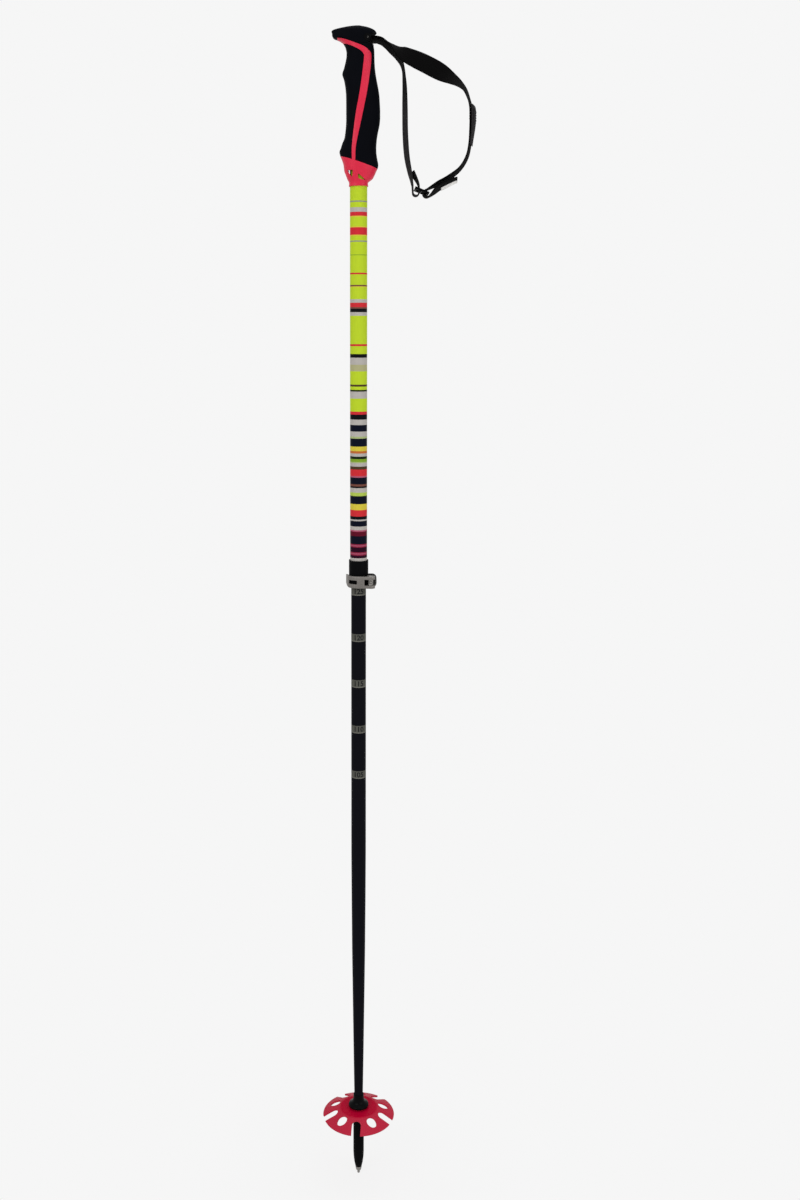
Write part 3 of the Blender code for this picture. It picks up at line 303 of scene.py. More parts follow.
def prism(name: str, outline: np.ndarray, low: float, high: float) -> bpy.types.Object:
    """Draw an outline of x and z out along Y.

    Args:
        name: the object's name.
        outline: array of x and z.
        low: the lower y.
        high: the higher y.

    Returns:
        The closed block.
    """
    level = np.array([low, high])[:, None]
    x = np.broadcast_to(outline[:, 0], (2, len(outline)))
    z = np.broadcast_to(outline[:, 1], (2, len(outline)))
    return surface(name, np.stack([x, np.broadcast_to(level, x.shape), z], axis=-1))


class Cut(Enum):
    """Ways to combine a piece with a cutter: take it away, keep what both hold, or join it on."""

    AWAY = "DIFFERENCE"
    COMMON = "INTERSECT"
    JOIN = "UNION"


def trim(item: bpy.types.Object, cutter: bpy.types.Object, cut: Cut) -> None:
    """Apply an exact Boolean to a piece and remove the cutter.

    Args:
        item: the piece that is changed.
        cutter: the other form.
        cut: how the two are combined.
    """
    step = item.modifiers.new("trim", "BOOLEAN")
    step.operation = cut.value
    step.solver = "EXACT"
    step.object = cutter
    bpy.context.view_layer.update()
    result = bpy.data.meshes.new_from_object(item.evaluated_get(bpy.context.evaluated_depsgraph_get()))
    item.modifiers.remove(step)
    old = item.data
    item.data = result
    bpy.data.meshes.remove(old)
    bpy.data.objects.remove(cutter)
    result.name = item.name
    result.shade_smooth()
    result.set_sharp_from_angle(angle=math.radians(SHARP_ANGLE))


def softened(node: str, name: str, width: float) -> bpy.types.Object:
    """Return a copy of a CAD node with smooth rounds and softly broken edges, which stands for it.

    Args:
        node: the CAD node's name.
        name: the new piece's name.
        width: width of the broken edges in metres.

    Returns:
        The new piece.
    """
    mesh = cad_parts[node].data.copy()
    mesh.materials.clear()
    form = bmesh.new()
    form.from_mesh(mesh)
    bmesh.ops.remove_doubles(form, verts=form.verts, dist=CAD_MERGE_GAP)
    bmesh.ops.dissolve_limit(
        form,
        angle_limit=math.radians(FLAT_ANGLE),
        verts=form.verts,
        edges=form.edges,
        use_dissolve_boundaries=False,
    )
    form.to_mesh(mesh)
    form.free()
    mesh.shade_smooth()
    item = bpy.data.objects.new(name, mesh)
    bpy.context.scene.collection.objects.link(item)
    bevel = item.modifiers.new("broken edges", "BEVEL")
    bevel.width = width
    bevel.segments = EDGE_STEPS
    bevel.limit_method = "ANGLE"
    bevel.angle_limit = math.radians(BROKEN_ANGLE)
    bevel.harden_normals = True
    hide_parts(node)
    return item


def place(item: bpy.types.Object, body: str, material: bpy.types.Material) -> None:
    """Give a piece its finish and the body that it rides on.

    Args:
        item: the piece.
        body: name of the CAD body.
        material: the finish.
    """
    item.data.materials.clear()
    item.data.materials.append(material)
    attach(item, body)
    LOG.info("%s rides on %s as %s", item.name, body, material.name)


def blank(name: str) -> tuple[bpy.types.Material, bpy.types.NodeTree, bpy.types.Node]:
    """Make a material to be dressed.

    Args:
        name: the real material's name.

    Returns:
        The material, its node tree and its shader.
    """
    material = bpy.data.materials.new(name)
    material.use_nodes = True
    tree = material.node_tree
    return material, tree, tree.nodes["Principled BSDF"]


@dataclass(frozen=True)
class Moulding:
    """Plain surface, moulded, cast or turned: one colour with slight changes of tone and a fine grain."""

    name: str
    colour: str
    shade: str
    roughness: float
    grain_mm: float
    grain_depth_mm: float
    metallic: float = 0.0
    specular: float = 0.3
    flow_mm: float = 12.0
    # How far the roughness falls and rises over the grain
    smoother: float = 0.06
    rougher: float = 0.08
    grain_strength: float = 0.6

    def make(self) -> bpy.types.Material:
        """Build the material.

        Returns:
            The new material.
        """
        material, tree, shader = blank(self.name)
        where = add_node(tree, "ShaderNodeTexCoord").outputs["Object"]
        # Faint changes of tone, such as flow marks give
        flow_scale = 1.0 / (self.flow_mm * MM)
        flow = add_node(tree, "ShaderNodeTexNoise", {"Vector": where, "Scale": flow_scale, "Detail": 3.0})
        tone = add_node(
            tree,
            "ShaderNodeMix",
            {0: flow.outputs["Fac"], 6: linear(self.shade), 7: linear(self.colour)},
            data_type="RGBA",
        )
        tree.links.new(tone.outputs[2], shader.inputs["Base Color"])
        grain_scale = 1.0 / (self.grain_mm * MM)
        grain = add_node(tree, "ShaderNodeTexNoise", {"Vector": where, "Scale": grain_scale, "Detail": 2.0})
        low = self.roughness - self.smoother
        high = self.roughness + self.rougher
        rough = add_node(
            tree, "ShaderNodeMapRange", {"Value": grain.outputs["Fac"], "To Min": low, "To Max": high}
        )
        tree.links.new(rough.outputs["Result"], shader.inputs["Roughness"])
        depth = self.grain_depth_mm * MM
        bump = add_node(
            tree,
            "ShaderNodeBump",
            {"Height": grain.outputs["Fac"], "Distance": depth, "Strength": self.grain_strength},
        )
        tree.links.new(bump.outputs["Normal"], shader.inputs["Normal"])
        shader.inputs["Metallic"].default_value = self.metallic
        shader.inputs["Specular IOR Level"].default_value = self.specular
        return material


@dataclass(frozen=True, kw_only=True)
class ThinMoulding(Moulding):
    """Moulding with a paler colour mixed in where a sheen is painted, by an attribute of the piece."""

    thin_colour: str

    def make(self) -> bpy.types.Material:
        """Build the material, which reads where the sheen is painted from the piece's own attribute for it.

        Returns:
            The new material.
        """
        material = super().make()
        tree = material.node_tree
        base = tree.nodes["Principled BSDF"].inputs["Base Color"]
        plain_tone = base.links[0].from_socket
        # The paler red mixed in here is a painted sheen
        painted_sheen = add_node(tree, "ShaderNodeAttribute", attribute_name="painted_sheen").outputs["Fac"]
        tone = add_node(
            tree, "ShaderNodeMix", {0: painted_sheen, 6: plain_tone, 7: linear(self.thin_colour)}, data_type="RGBA"
        )
        tree.links.new(tone.outputs[2], base)
        return material


@dataclass(frozen=True)
class PaintedTube:
    """Drawn aluminium tube under lacquer in one or more colours, with a faint drawn grain."""

    name: str
    roughness: float
    specular: float
    rough_swing: float = 0.05
    grain_across_mm: float = 0.5
    grain_along_mm: float = 20.0
    # Shares of the paint's tone in the darkest and the palest grain
    darker: float = 0.94
    paler: float = 1.05

    def make(self) -> bpy.types.Material:
        """Build the material, whose colour comes from the piece's own paint attribute.

        Returns:
            The new material.
        """
        material, tree, shader = blank(self.name)
        paint = add_node(tree, "ShaderNodeAttribute", attribute_name="paint").outputs["Color"]
        where = add_node(tree, "ShaderNodeTexCoord").outputs["Object"]
        # The drawn grain runs along the tube and is coarser than real so that it shows
        across = 1.0 / (self.grain_across_mm * MM)
        scale = (across, across, 1.0 / (self.grain_along_mm * MM))
        drawn = add_node(tree, "ShaderNodeMapping", {"Vector": where, "Scale": scale}).outputs["Vector"]
        grain = add_node(tree, "ShaderNodeTexNoise", {"Vector": drawn, "Scale": 1.0, "Detail": 2.0})
        tone_shift = add_node(
            tree,
            "ShaderNodeMapRange",
            {"Value": grain.outputs["Fac"], "To Min": self.darker, "To Max": self.paler},
        )
        tone = add_node(
            tree, "ShaderNodeVectorMath", {0: paint, 1: tone_shift.outputs["Result"]}, operation="MULTIPLY"
        )
        tree.links.new(tone.outputs["Vector"], shader.inputs["Base Color"])
        low = self.roughness - self.rough_swing
        high = self.roughness + self.rough_swing
        rough = add_node(
            tree, "ShaderNodeMapRange", {"Value": grain.outputs["Fac"], "To Min": low, "To Max": high}
        )
        tree.links.new(rough.outputs["Result"], shader.inputs["Roughness"])
        shader.inputs["Specular IOR Level"].default_value = self.specular
        return material


@dataclass(frozen=True)
class Webbing:
    """Woven polyester webbing: ribs across its width and fine warp lines along it."""

    name: str
    yarn: str
    # Painted grey: the lit face of the inner run, and the doubling and turned end
    grey_yarn: str
    gap: str
    rib_mm: float
    warp_mm: float
    # Shift of the ribs by a warp line in radians, and its height as a share of a rib's
    warp_shift: float = 1.6
    warp_rise: float = 0.35
    weave_depth_mm: float = 0.12
    weave_strength: float = 0.7
    roughness: float = 0.85
    specular: float = 0.03

    def make(self) -> bpy.types.Material:
        """Build the material on the piece's own lay attribute: across, along and the share of painted grey.

        Returns:
            The new material.
        """
        material, tree, shader = blank(self.name)
        lay = add_node(tree, "ShaderNodeAttribute", attribute_name="lay").outputs["Vector"]
        split = add_node(tree, "ShaderNodeSeparateXYZ", {"Vector": lay})
        turns = 2.0 * math.pi / MM
        warp_angle = add_node(
            tree, "ShaderNodeMath", {0: split.outputs["X"], 1: turns / self.warp_mm}, operation="MULTIPLY"
        )
        warp = add_node(tree, "ShaderNodeMath", {0: warp_angle.outputs[0]}, operation="SINE")
        # Neighbouring warp lines shift the ribs apart by half a pitch, which gives the woven chequer
        shift = add_node(
            tree, "ShaderNodeMath", {0: warp.outputs[0], 1: self.warp_shift}, operation="MULTIPLY"
        )
        rib_angle = add_node(
            tree,
            "ShaderNodeMath",
            {0: split.outputs["Y"], 1: turns / self.rib_mm, 2: shift.outputs[0]},
            operation="MULTIPLY_ADD",
        )
        rib = add_node(tree, "ShaderNodeMath", {0: rib_angle.outputs[0]}, operation="SINE")
        raised = add_node(
            tree,
            "ShaderNodeMath",
            {0: warp.outputs[0], 1: self.warp_rise, 2: rib.outputs[0]},
            operation="MULTIPLY_ADD",
        )
        peak = 1.0 + self.warp_rise
        height = add_node(
            tree, "ShaderNodeMapRange", {"Value": raised.outputs[0], "From Min": -peak, "From Max": peak}
        )
        # The lay attribute's third value mixes in the painted grey
        yarn = add_node(
            tree,
            "ShaderNodeMix",
            {0: split.outputs["Z"], 6: linear(self.yarn), 7: linear(self.grey_yarn)},
            data_type="RGBA",
        )
        tone = add_node(
            tree,
            "ShaderNodeMix",
            {0: height.outputs["Result"], 6: linear(self.gap), 7: yarn.outputs[2]},
            data_type="RGBA",
        )
        tree.links.new(tone.outputs[2], shader.inputs["Base Color"])
        depth = self.weave_depth_mm * MM
        bump = add_node(
            tree,
            "ShaderNodeBump",
            {"Height": height.outputs["Result"], "Distance": depth, "Strength": self.weave_strength},
        )
        tree.links.new(bump.outputs["Normal"], shader.inputs["Normal"])
        shader.inputs["Roughness"].default_value = self.roughness
        shader.inputs["Specular IOR Level"].default_value = self.specular
        return material


class Paint(Enum):
    """Printed colours of the upper tube and the scale, as sRGB hex."""

    LIME = "#B9D12F"
    PALE_LIME = "#AFC455"
    LEAF = "#7FA32F"
    SAGE = "#A6B47A"
    YELLOW = "#D3C143"
    TAN = "#ADAA80"
    ORANGE = "#BE6A34"
    BROWN = "#74493F"
    UMBER = "#4C3B28"
    RED = "#CC3037"
    CRIMSON = "#8C2A44"
    ROSE = "#A9566E"
    WINE = "#5E1226"
    PLUM = "#2A0A1E"
    NAVY = "#0D1120"
    BLACK = "#101014"
    GREEN = "#1C2616"
    SILVER = "#B4AFAA"
    GREY = "#8E8E86"
    TUBE = "#111116"
    MARK = "#55554F"
    MARK_EDGE = "#6E6D66"


# Rubber scatters nearly all light, so it reads as a soft and even black
RUBBER = Moulding(
    name="soft rubber, moulded",
    colour="#0B0C11",
    shade="#08090D",
    roughness=0.6,
    grain_mm=0.5,
    grain_depth_mm=0.05,
    specular=0.012,
)
# Polypropylene from a smooth mould is a clear red with a broad soft sheen
CORE_PLASTIC = Moulding(
    name="red polypropylene, moulded",
    colour="#DC2545",
    shade="#CF1D3C",
    roughness=0.42,
    grain_mm=0.6,
    grain_depth_mm=0.02,
    specular=0.25,
)
# Polyamide is a deep red; the paler red of the petals is a painted sheen
BASKET_PLASTIC = ThinMoulding(
    name="red polyamide, moulded",
    colour="#B8032F",
    shade="#AC022A",
    roughness=0.36,
    grain_mm=0.6,
    grain_depth_mm=0.02,
    specular=0.03,
    thin_colour="#BA2A41",
)
# Finely sparked polyamide is an even black that catches little light on its edges
BLACK_PLASTIC = Moulding(
    name="black polyamide, moulded",
    colour="#0C0C0E",
    shade="#09090A",
    roughness=0.42,
    grain_mm=0.5,
    grain_depth_mm=0.02,
    specular=0.015,
)
# Polished polyamide is a deeper black with small clear highlights on its flare
COLLAR_PLASTIC = Moulding(
    name="black polyamide, polished",
    colour="#08080A",
    shade="#060607",
    roughness=0.28,
    grain_mm=0.5,
    grain_depth_mm=0.01,
    specular=0.04,
)
# Uncoloured acetal is a milky off-white with a waxy sheen
PALE_PLASTIC = Moulding(
    name="natural acetal, moulded",
    colour="#C9C7BE",
    shade="#BDBBB2",
    roughness=0.45,
    grain_mm=0.6,
    grain_depth_mm=0.02,
)
# Die-cast aluminium is a plain mid grey with a satin sheen and no mirror image
LEVER_METAL = Moulding(
    name="grey aluminium, die-cast",
    colour="#7C7874",
    shade="#706C68",
    roughness=0.42,
    grain_mm=0.7,
    grain_depth_mm=0.02,
    metallic=0.6,
)
# Turned steel is a bright grey that takes up the tone of what stands round it
STEEL = Moulding(
    name="steel, turned",
    colour="#B4B1AC",
    shade="#A6A39E",
    roughness=0.34,
    grain_mm=0.4,
    grain_depth_mm=0.01,
    metallic=1.0,
)
# Blackened steel keeps the metal's reflections but is dark under its oxide; on the ear plate this dark also
# paints in the shade seen through the lever's window
DARK_STEEL = Moulding(
    name="blackened steel, turned",
    colour="#4A4947",
    shade="#403F3D",
    roughness=0.4,
    grain_mm=0.4,
    grain_depth_mm=0.01,
    metallic=1.0,
)
# Plain drawn steel is a mid grey, duller than the turned steel
PLAIN_STEEL = Moulding(
    name="plain steel, drawn",
    colour="#8C8985",
    shade="#7F7C78",
    roughness=0.36,
    grain_mm=0.4,
    grain_depth_mm=0.01,
    metallic=1.0,
)
# Ground carbide is as grey as the plain steel, with softer reflections
CARBIDE = Moulding(
    name="tungsten carbide, ground",
    colour="#8C8A87",
    shade="#7F7D7A",
    roughness=0.38,
    grain_mm=0.4,
    grain_depth_mm=0.01,
    metallic=1.0,
)
# Lacquer over the printed rings shows flat clear colours and hardly any highlight
TUBE_PAINT = PaintedTube(
    name="printed lacquer on aluminium",
    roughness=0.34,
    specular=0.025,
)
# Black lacquer shows the tube as a dark band with a dim streak along it
TUBE_BLACK = PaintedTube(
    name="black lacquer on aluminium",
    roughness=0.4,
    specular=0.012,
)
# Woven polyester is a dull black with ribs; the painted grey stands for the lit face of the inner run, and
# the doubling and turned end get the same painted grey
STRAP_WEB = Webbing(
    name="black polyester webbing, woven",
    yarn="#0E0D0E",
    grey_yarn="#3A383A",
    gap="#040404",
    rib_mm=1.3,
    warp_mm=2.2,
)
# Twisted thread is a shade paler than the webbing, so that a seam just shows
THREAD = Moulding(
    name="black polyester thread, twisted",
    colour="#171617",
    shade="#0E0D0E",
    roughness=0.8,
    grain_mm=0.3,
    grain_depth_mm=0.03,
    specular=0.05,
)
# Satin ribbon is a plain warm white with a soft sheen
LABEL = Moulding(
    name="white satin ribbon, woven",
    colour="#EDEBE8",
    shade="#E2E0DC",
    roughness=0.6,
    grain_mm=0.4,
    grain_depth_mm=0.02,
)
# Printing ink is flat and dark, so a number reads by its tone against the grey mark
DIGIT_INK = Moulding(
    name="dark printing ink",
    colour="#17171A",
    shade="#121214",
    roughness=0.5,
    grain_mm=0.5,
    grain_depth_mm=0.01,
    specular=0.12,
)


@dataclass
class Tubes:
    """The lime upper tube with its printed rings and the black lower tube with its length scale."""

    upper_radius: float = 9.0 * MM
    upper_bore: float = 8.2 * MM
    upper_foot: float = 676.1 * MM
    upper_top: float = 1190.2 * MM
    ring_start: float = 691.3 * MM
    lower_foot: float = 44.7 * MM
    lower_top: float = 914.7 * MM
    lower_wall: float = 1.2 * MM
    # Height and outer radius in millimetres
    taper: tuple[tuple[float, float], ...] = (
        (44.7, 4.30),
        (80.7, 4.444),
        (95.7, 4.768),
        (142.2, 5.488),
        (200.2, 6.316),
        (257.2, 7.108),
        (314.2, 7.576),
        (369.7, 7.90),
        (914.7, 7.90),
    )
    mark_foot: float = 653.95 * MM
    mark_height: float = 8.2 * MM
    mark_pitch: float = 50.0 * MM
    mark_first: int = 125
    mark_longest: int = 140
    mark_shortest: int = 105
    mark_step: int = 5
    mark_edge: float = 0.9 * MM
    ring_blend: float = 0.04 * MM
    bend_top: float = 380.0 * MM
    bend_rows: int = 40
    columns: int = 72
    digit_size: float = 7.6 * MM
    digit_weight: float = 0.18 * MM
    digit_rise: float = 0.9 * MM
    # Cuts of each edge of a flat number, so that it bends round the tube
    digit_cuts: int = 2
    ink_gap: float = 0.03 * MM
    ink_sheet: float = 0.05 * MM
    # Millimetres above the first ring's foot, and the colour from there on
    rings: tuple[tuple[float, Paint], ...] = (
        (0.0, Paint.SILVER),
        (3.0, Paint.PLUM),
        (5.9, Paint.CRIMSON),
        (7.2, Paint.ROSE),
        (8.2, Paint.CRIMSON),
        (9.4, Paint.PLUM),
        (14.6, Paint.CRIMSON),
        (15.8, Paint.ROSE),
        (16.8, Paint.CRIMSON),
        (18.0, Paint.NAVY),
        (26.6, Paint.WINE),
        (31.4, Paint.ROSE),
        (33.0, Paint.SILVER),
        (36.9, Paint.NAVY),
        (42.7, Paint.SILVER),
        (44.3, Paint.BLACK),
        (47.6, Paint.RED),
        (54.4, Paint.YELLOW),
        (60.8, Paint.NAVY),
        (69.3, Paint.PALE_LIME),
        (73.0, Paint.SILVER),
        (77.8, Paint.BLACK),
        (79.6, Paint.BROWN),
        (81.8, Paint.NAVY),
        (88.9, Paint.ROSE),
        (90.5, Paint.RED),
        (97.5, Paint.UMBER),
        (100.6, Paint.SILVER),
        (104.3, Paint.SAGE),
        (105.4, Paint.LEAF),
        (108.5, Paint.GREEN),
        (111.2, Paint.SILVER),
        (114.4, Paint.ORANGE),
        (116.9, Paint.YELLOW),
        (121.7, Paint.NAVY),
        (130.1, Paint.SAGE),
        (132.2, Paint.SILVER),
        (137.5, Paint.NAVY),
        (144.4, Paint.SILVER),
        (150.1, Paint.BLACK),
        (155.4, Paint.RED),
        (158.5, Paint.LIME),
        (172.2, Paint.SILVER),
        (179.5, Paint.GREEN),
        (181.3, Paint.LIME),
        (184.7, Paint.UMBER),
        (186.8, Paint.LIME),
        (200.7, Paint.TAN),
        (207.6, Paint.SILVER),
        (214.9, Paint.BLACK),
        (218.7, Paint.LIME),
        (226.9, Paint.RED),
        (229.0, Paint.LIME),
        (258.5, Paint.SILVER),
        (262.2, Paint.BLACK),
        (265.8, Paint.BROWN),
        (267.4, Paint.RED),
        (272.0, Paint.SILVER),
        (275.6, Paint.LIME),
        (288.0, Paint.YELLOW),
        (288.9, Paint.BROWN),
        (290.4, Paint.LIME),
        (301.3, Paint.RED),
        (303.0, Paint.LIME),
        (320.9, Paint.LEAF),
        (321.7, Paint.LIME),
        (334.7, Paint.GREY),
        (336.0, Paint.LIME),
        (340.8, Paint.YELLOW),
        (341.9, Paint.RED),
        (349.6, Paint.YELLOW),
        (350.6, Paint.LIME),
        (360.2, Paint.YELLOW),
        (361.3, Paint.RED),
        (365.4, Paint.SILVER),
        (370.0, Paint.LIME),
        (375.5, Paint.GREY),
        (376.8, Paint.LIME),
    )

    def painted(
        self, name: str, profile: np.ndarray, edges: np.ndarray, colours: np.ndarray
    ) -> bpy.types.Object:
        """Turn a profile and paint it in rings.

        Args:
            name: the piece's name.
            profile: array of radius and height, as a closed outline.
            edges: rising heights where a ring starts.
            colours: linear colour of each ring.

        Returns:
            The painted tube.
        """
        item = surface(name, turned(profile, self.columns), close_rows=True, caps=False)
        heights = vertex_points(item.data)[:, 2]
        ring = np.clip(np.searchsorted(edges, heights, side="right") - 1, 0, len(edges) - 1)
        attribute = item.data.attributes.new("paint", "FLOAT_COLOR", "POINT")
        attribute.data.foreach_set("color", colours[ring].astype(np.float32).ravel())
        return item

    def build_upper(self) -> None:
        """Build the upper tube with its plain printed rings."""
        blend = self.ring_blend
        starts = np.array([start for start, _ in self.rings]) * MM + self.ring_start
        heights = np.concatenate([[self.upper_foot], starts - blend, starts + blend, [self.upper_top]])
        heights = np.sort(heights)
        outer = np.stack([np.full_like(heights, self.upper_radius), heights], axis=-1)
        inner = np.array([[self.upper_bore, self.upper_top], [self.upper_bore, self.upper_foot]])
        colours = np.array([linear(paint.value) for _, paint in self.rings])
        item = self.painted("upper_tube", np.concatenate([outer, inner]), starts, colours)
        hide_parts("upper_shaft")
        place(item, "handle", TUBE_PAINT.make())

    def lower_radius(self, heights: np.ndarray) -> np.ndarray:
        """Return the lower tube's outer radius at given heights."""
        taper = np.array(self.taper) * MM
        return np.interp(heights, taper[:, 0], taper[:, 1])

    def marks(self) -> list[tuple[int, float]]:
        """Work out the scale's marks.

        Returns:
            Each length number with the height of its mark's foot.
        """
        numbers = np.arange(self.mark_longest, self.mark_shortest - 1, -self.mark_step)
        feet = self.mark_foot + (numbers - self.mark_first) / self.mark_step * self.mark_pitch
        return list(zip(numbers.tolist(), feet.tolist()))

    def build_lower(self) -> None:
        """Build the lower tube with its grey marks, and the dark numbers on them."""
        blend = self.ring_blend
        feet = [self.lower_foot]
        paints = [Paint.TUBE]
        for _, foot in reversed(self.marks()):
            feet += [foot, foot + self.mark_edge, foot + self.mark_height]
            paints += [Paint.MARK_EDGE, Paint.MARK, Paint.TUBE]
        starts = np.array(feet)
        colours = np.array([linear(paint.value) for paint in paints])
        bend = np.linspace(self.lower_foot, self.bend_top, self.bend_rows)
        heights = np.concatenate([bend, starts[1:] - blend, starts[1:] + blend, [self.lower_top]])
        heights = np.sort(heights)
        radius = self.lower_radius(heights)
        outer = np.stack([radius, heights], axis=-1)
        inner = np.stack([radius - self.lower_wall, heights], axis=-1)[::-1]
        item = self.painted("lower_tube", np.concatenate([outer, inner]), starts, colours)
        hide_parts("lower_shaft")
        place(item, "lower", TUBE_BLACK.make())
        ink = DIGIT_INK.make()
        for number, foot in self.marks():
            place(self.number(number, foot + self.mark_edge), "lower", ink)

    def number(self, number: int, foot: float) -> bpy.types.Object:
        """Print a length number round the front of the tube.

        Formula: a flat letter point at x goes to the angle x / radius from the front of the tube.

        Args:
            number: the length in centimetres.
            foot: height of the mark's plain part.

        Returns:
            The thin printed number.
        """
        name = f"scale_number_{number}"
        text = bpy.data.curves.new(name, "FONT")
        text.body = str(number)
        text.size = self.digit_size
        text.offset = self.digit_weight
        text.align_x = "CENTER"
        flat = bpy.data.objects.new(name, text)
        bpy.context.scene.collection.objects.link(flat)
        bpy.context.view_layer.update()
        mesh = bpy.data.meshes.new_from_object(flat.evaluated_get(bpy.context.evaluated_depsgraph_get()))
        bpy.data.objects.remove(flat)
        form = bmesh.new()
        form.from_mesh(mesh)
        bmesh.ops.triangulate(form, faces=form.faces)
        bmesh.ops.subdivide_edges(form, edges=form.edges, cuts=self.digit_cuts, use_grid_fill=True)
        form.to_mesh(mesh)
        form.free()
        flat_points = vertex_points(mesh)
        radius = self.taper[-1][1] * MM
        angle = -math.pi / 2.0 + flat_points[:, 0] / radius
        lifted = radius + self.ink_gap
        height = foot + self.digit_rise + flat_points[:, 1]
        round_points = np.stack([lifted * np.cos(angle), lifted * np.sin(angle), height], axis=-1)
        mesh.vertices.foreach_set("co", round_points.ravel())
        item = finished(name, mesh)
        sheet = item.modifiers.new("ink", "SOLIDIFY")
        sheet.thickness = self.ink_sheet
        sheet.offset = 1.0
        return item


class StripeEdge(Enum):
    """The stripe's two edges, as the side of its middle line on which they lie."""

    FRONT = -1.0
    REAR = 1.0


class Cheek(Enum):
    """The head's two cheeks, as the side of the pole on which they lie."""

    NEAR = -1.0
    FAR = 1.0


@dataclass
class Grip:
    """Red core with its hollow skirt and side stripe, two black pads and the black head."""

    foot: float = 1083.2 * MM
    shaft_radius: float = 9.0 * MM
    shaft_top: float = 1190.2 * MM
    gap: float = 0.3 * MM
    pad: float = 2.0 * MM
    skirt_top: float = 30.2 * MM
    skirt_slope: float = 0.335
    skirt_front: float = 18.2 * MM
    head_foot: float = 143.4 * MM
    head_low: float = 100.0 * MM
    top: float = 162.6 * MM
    core_low: float = 15.0 * MM
    core_high: float = 138.3 * MM
    skirt_high: float = 60.0 * MM
    section_power: float = 2.3
    section_points: int = 72
    closest_rows: float = 0.1 * MM
    core_step: float = 4.0 * MM
    smooth_step: float = 1.2 * MM
    head_step: float = 0.9 * MM
    rib_step: float = 0.46 * MM
    rib_pitch: float = 2.3 * MM
    rib_depth: float = 0.22 * MM
    rib_low: float = 44.0 * MM
    rib_high: float = 106.0 * MM
    rib_fade: float = 8.0 * MM
    # Cosine of the angle from the front at which the ribs have faded out
    rib_flank: float = 0.35
    stripe_inset: float = 0.15 * MM
    stripe_slack: float = 0.05 * MM
    hollow_low: float = 5.0 * MM
    hollow_high: float = 20.0 * MM
    hollow_flare: float = 3.2 * MM
    # Corners of the skirt's windows: millimetres of x and of height above the foot
    windows: tuple[tuple[tuple[float, float], ...], ...] = (
        ((-12.0, 15.7), (-5.8, 15.7), (-6.8, 8.5)),
        ((-0.6, 12.4), (7.7, 5.4), (-0.6, 7.5)),
    )
    window_round: float = 1.2 * MM
    window_rise: float = 3.2 * MM
    # Half sizes of the blocks that cut the grip, and how far a cut runs past a face
    block: float = 45.0 * MM
    long_block: float = 90.0 * MM
    overrun: float = 1.0 * MM
    # The stripe's rear edge bounds the palm pad behind this x, or anywhere this far below the head
    palm_front: float = -10.0 * MM
    palm_drop: float = 20.0 * MM
    # The head's lower edge follows the stripe in front of this x
    head_rear: float = 12.0 * MM
    slot_half: float = 10.7 * MM
    slot_reach: float = 3.2 * MM
    slot_angle: float = 15.0
    pin_hole: float = 1.5 * MM
    pin_hole_points: int = 24
    cap_low: float = 130.0 * MM
    cap_high: float = 160.0 * MM
    cap_under: float = 125.0 * MM
    cap_radius: float = 3.7 * MM
    cap_points: int = 48
    cap_rise: float = 0.3 * MM
    cap_seat: float = 0.4 * MM
    pin_edge: float = 0.2 * MM
    pin_place: tuple[float, float] = (9.0 * MM, 1232.3 * MM)
    # Millimetres: height above the foot, then cover over the shaft in front, behind and at the sides
    stations: tuple[tuple[float, float, float, float], ...] = (
        (0.0, 1.05, 1.05, 1.05),
        (4.2, 1.05, 1.20, 1.05),
        (7.0, 2.60, 4.90, 2.20),
        (11.0, 4.10, 7.40, 3.20),
        (15.0, 5.70, 9.20, 4.20),
        (19.0, 6.30, 11.0, 4.90),
        (21.5, 6.60, 11.4, 5.20),
        (27.0, 8.30, 10.5, 5.60),
        (31.0, 9.90, 9.80, 5.85),
        (35.2, 10.75, 9.40, 5.95),
        (39.3, 9.25, 9.30, 5.95),
        (43.5, 7.95, 9.50, 5.95),
        (48.0, 6.05, 9.90, 5.95),
        (54.0, 4.95, 10.9, 5.95),
        (63.5, 4.05, 12.8, 5.95),
        (75.8, 3.95, 13.3, 5.95),
        (85.0, 3.95, 12.9, 5.85),
        (94.0, 4.15, 12.2, 5.65),
        (102.0, 4.95, 10.8, 5.35),
        (108.0, 6.05, 9.60, 5.05),
        (113.8, 7.75, 8.60, 4.75),
        (119.5, 6.05, 7.90, 4.45),
        (125.0, 4.65, 7.50, 4.15),
        (132.0, 3.45, 7.30, 3.95),
        (138.3, 3.85, 7.10, 3.95),
        (142.3, 5.35, 6.50, 4.05),
        (145.5, 7.95, 6.70, 4.15),
        (148.0, 12.15, 8.30, 4.25),
        (149.6, 16.35, 9.00, 4.35),
        (151.6, 17.85, 9.50, 4.25),
        (154.4, 18.25, 9.60, 3.95),
        (157.9, 17.45, 7.20, 2.60),
        (160.4, 7.80, 1.20, -0.40),
        (161.9, 0.60, -4.90, -4.40),
        (162.6, -3.60, -7.40, -6.90),
    )
    # Millimetres: x and height of the stripe's middle line and its half width
    stripe_runout: tuple[float, float, float] = (-45.0, 142.6, 0.0)
    stripe: tuple[tuple[float, float, float], ...] = (
        (-22.0, 147.8, 1.4),
        (-15.4, 146.0, 1.7),
        (-5.1, 141.7, 2.0),
        (3.5, 137.74, 2.6),
        (7.6, 134.12, 3.3),
        (9.3, 128.5, 3.8),
        (5.6, 98.9, 3.7),
        (0.2, 70.4, 3.4),
        (-4.6, 41.7, 2.1),
        (-5.2, 27.9, 1.8),
        (-5.2, 16.0, 1.8),
    )

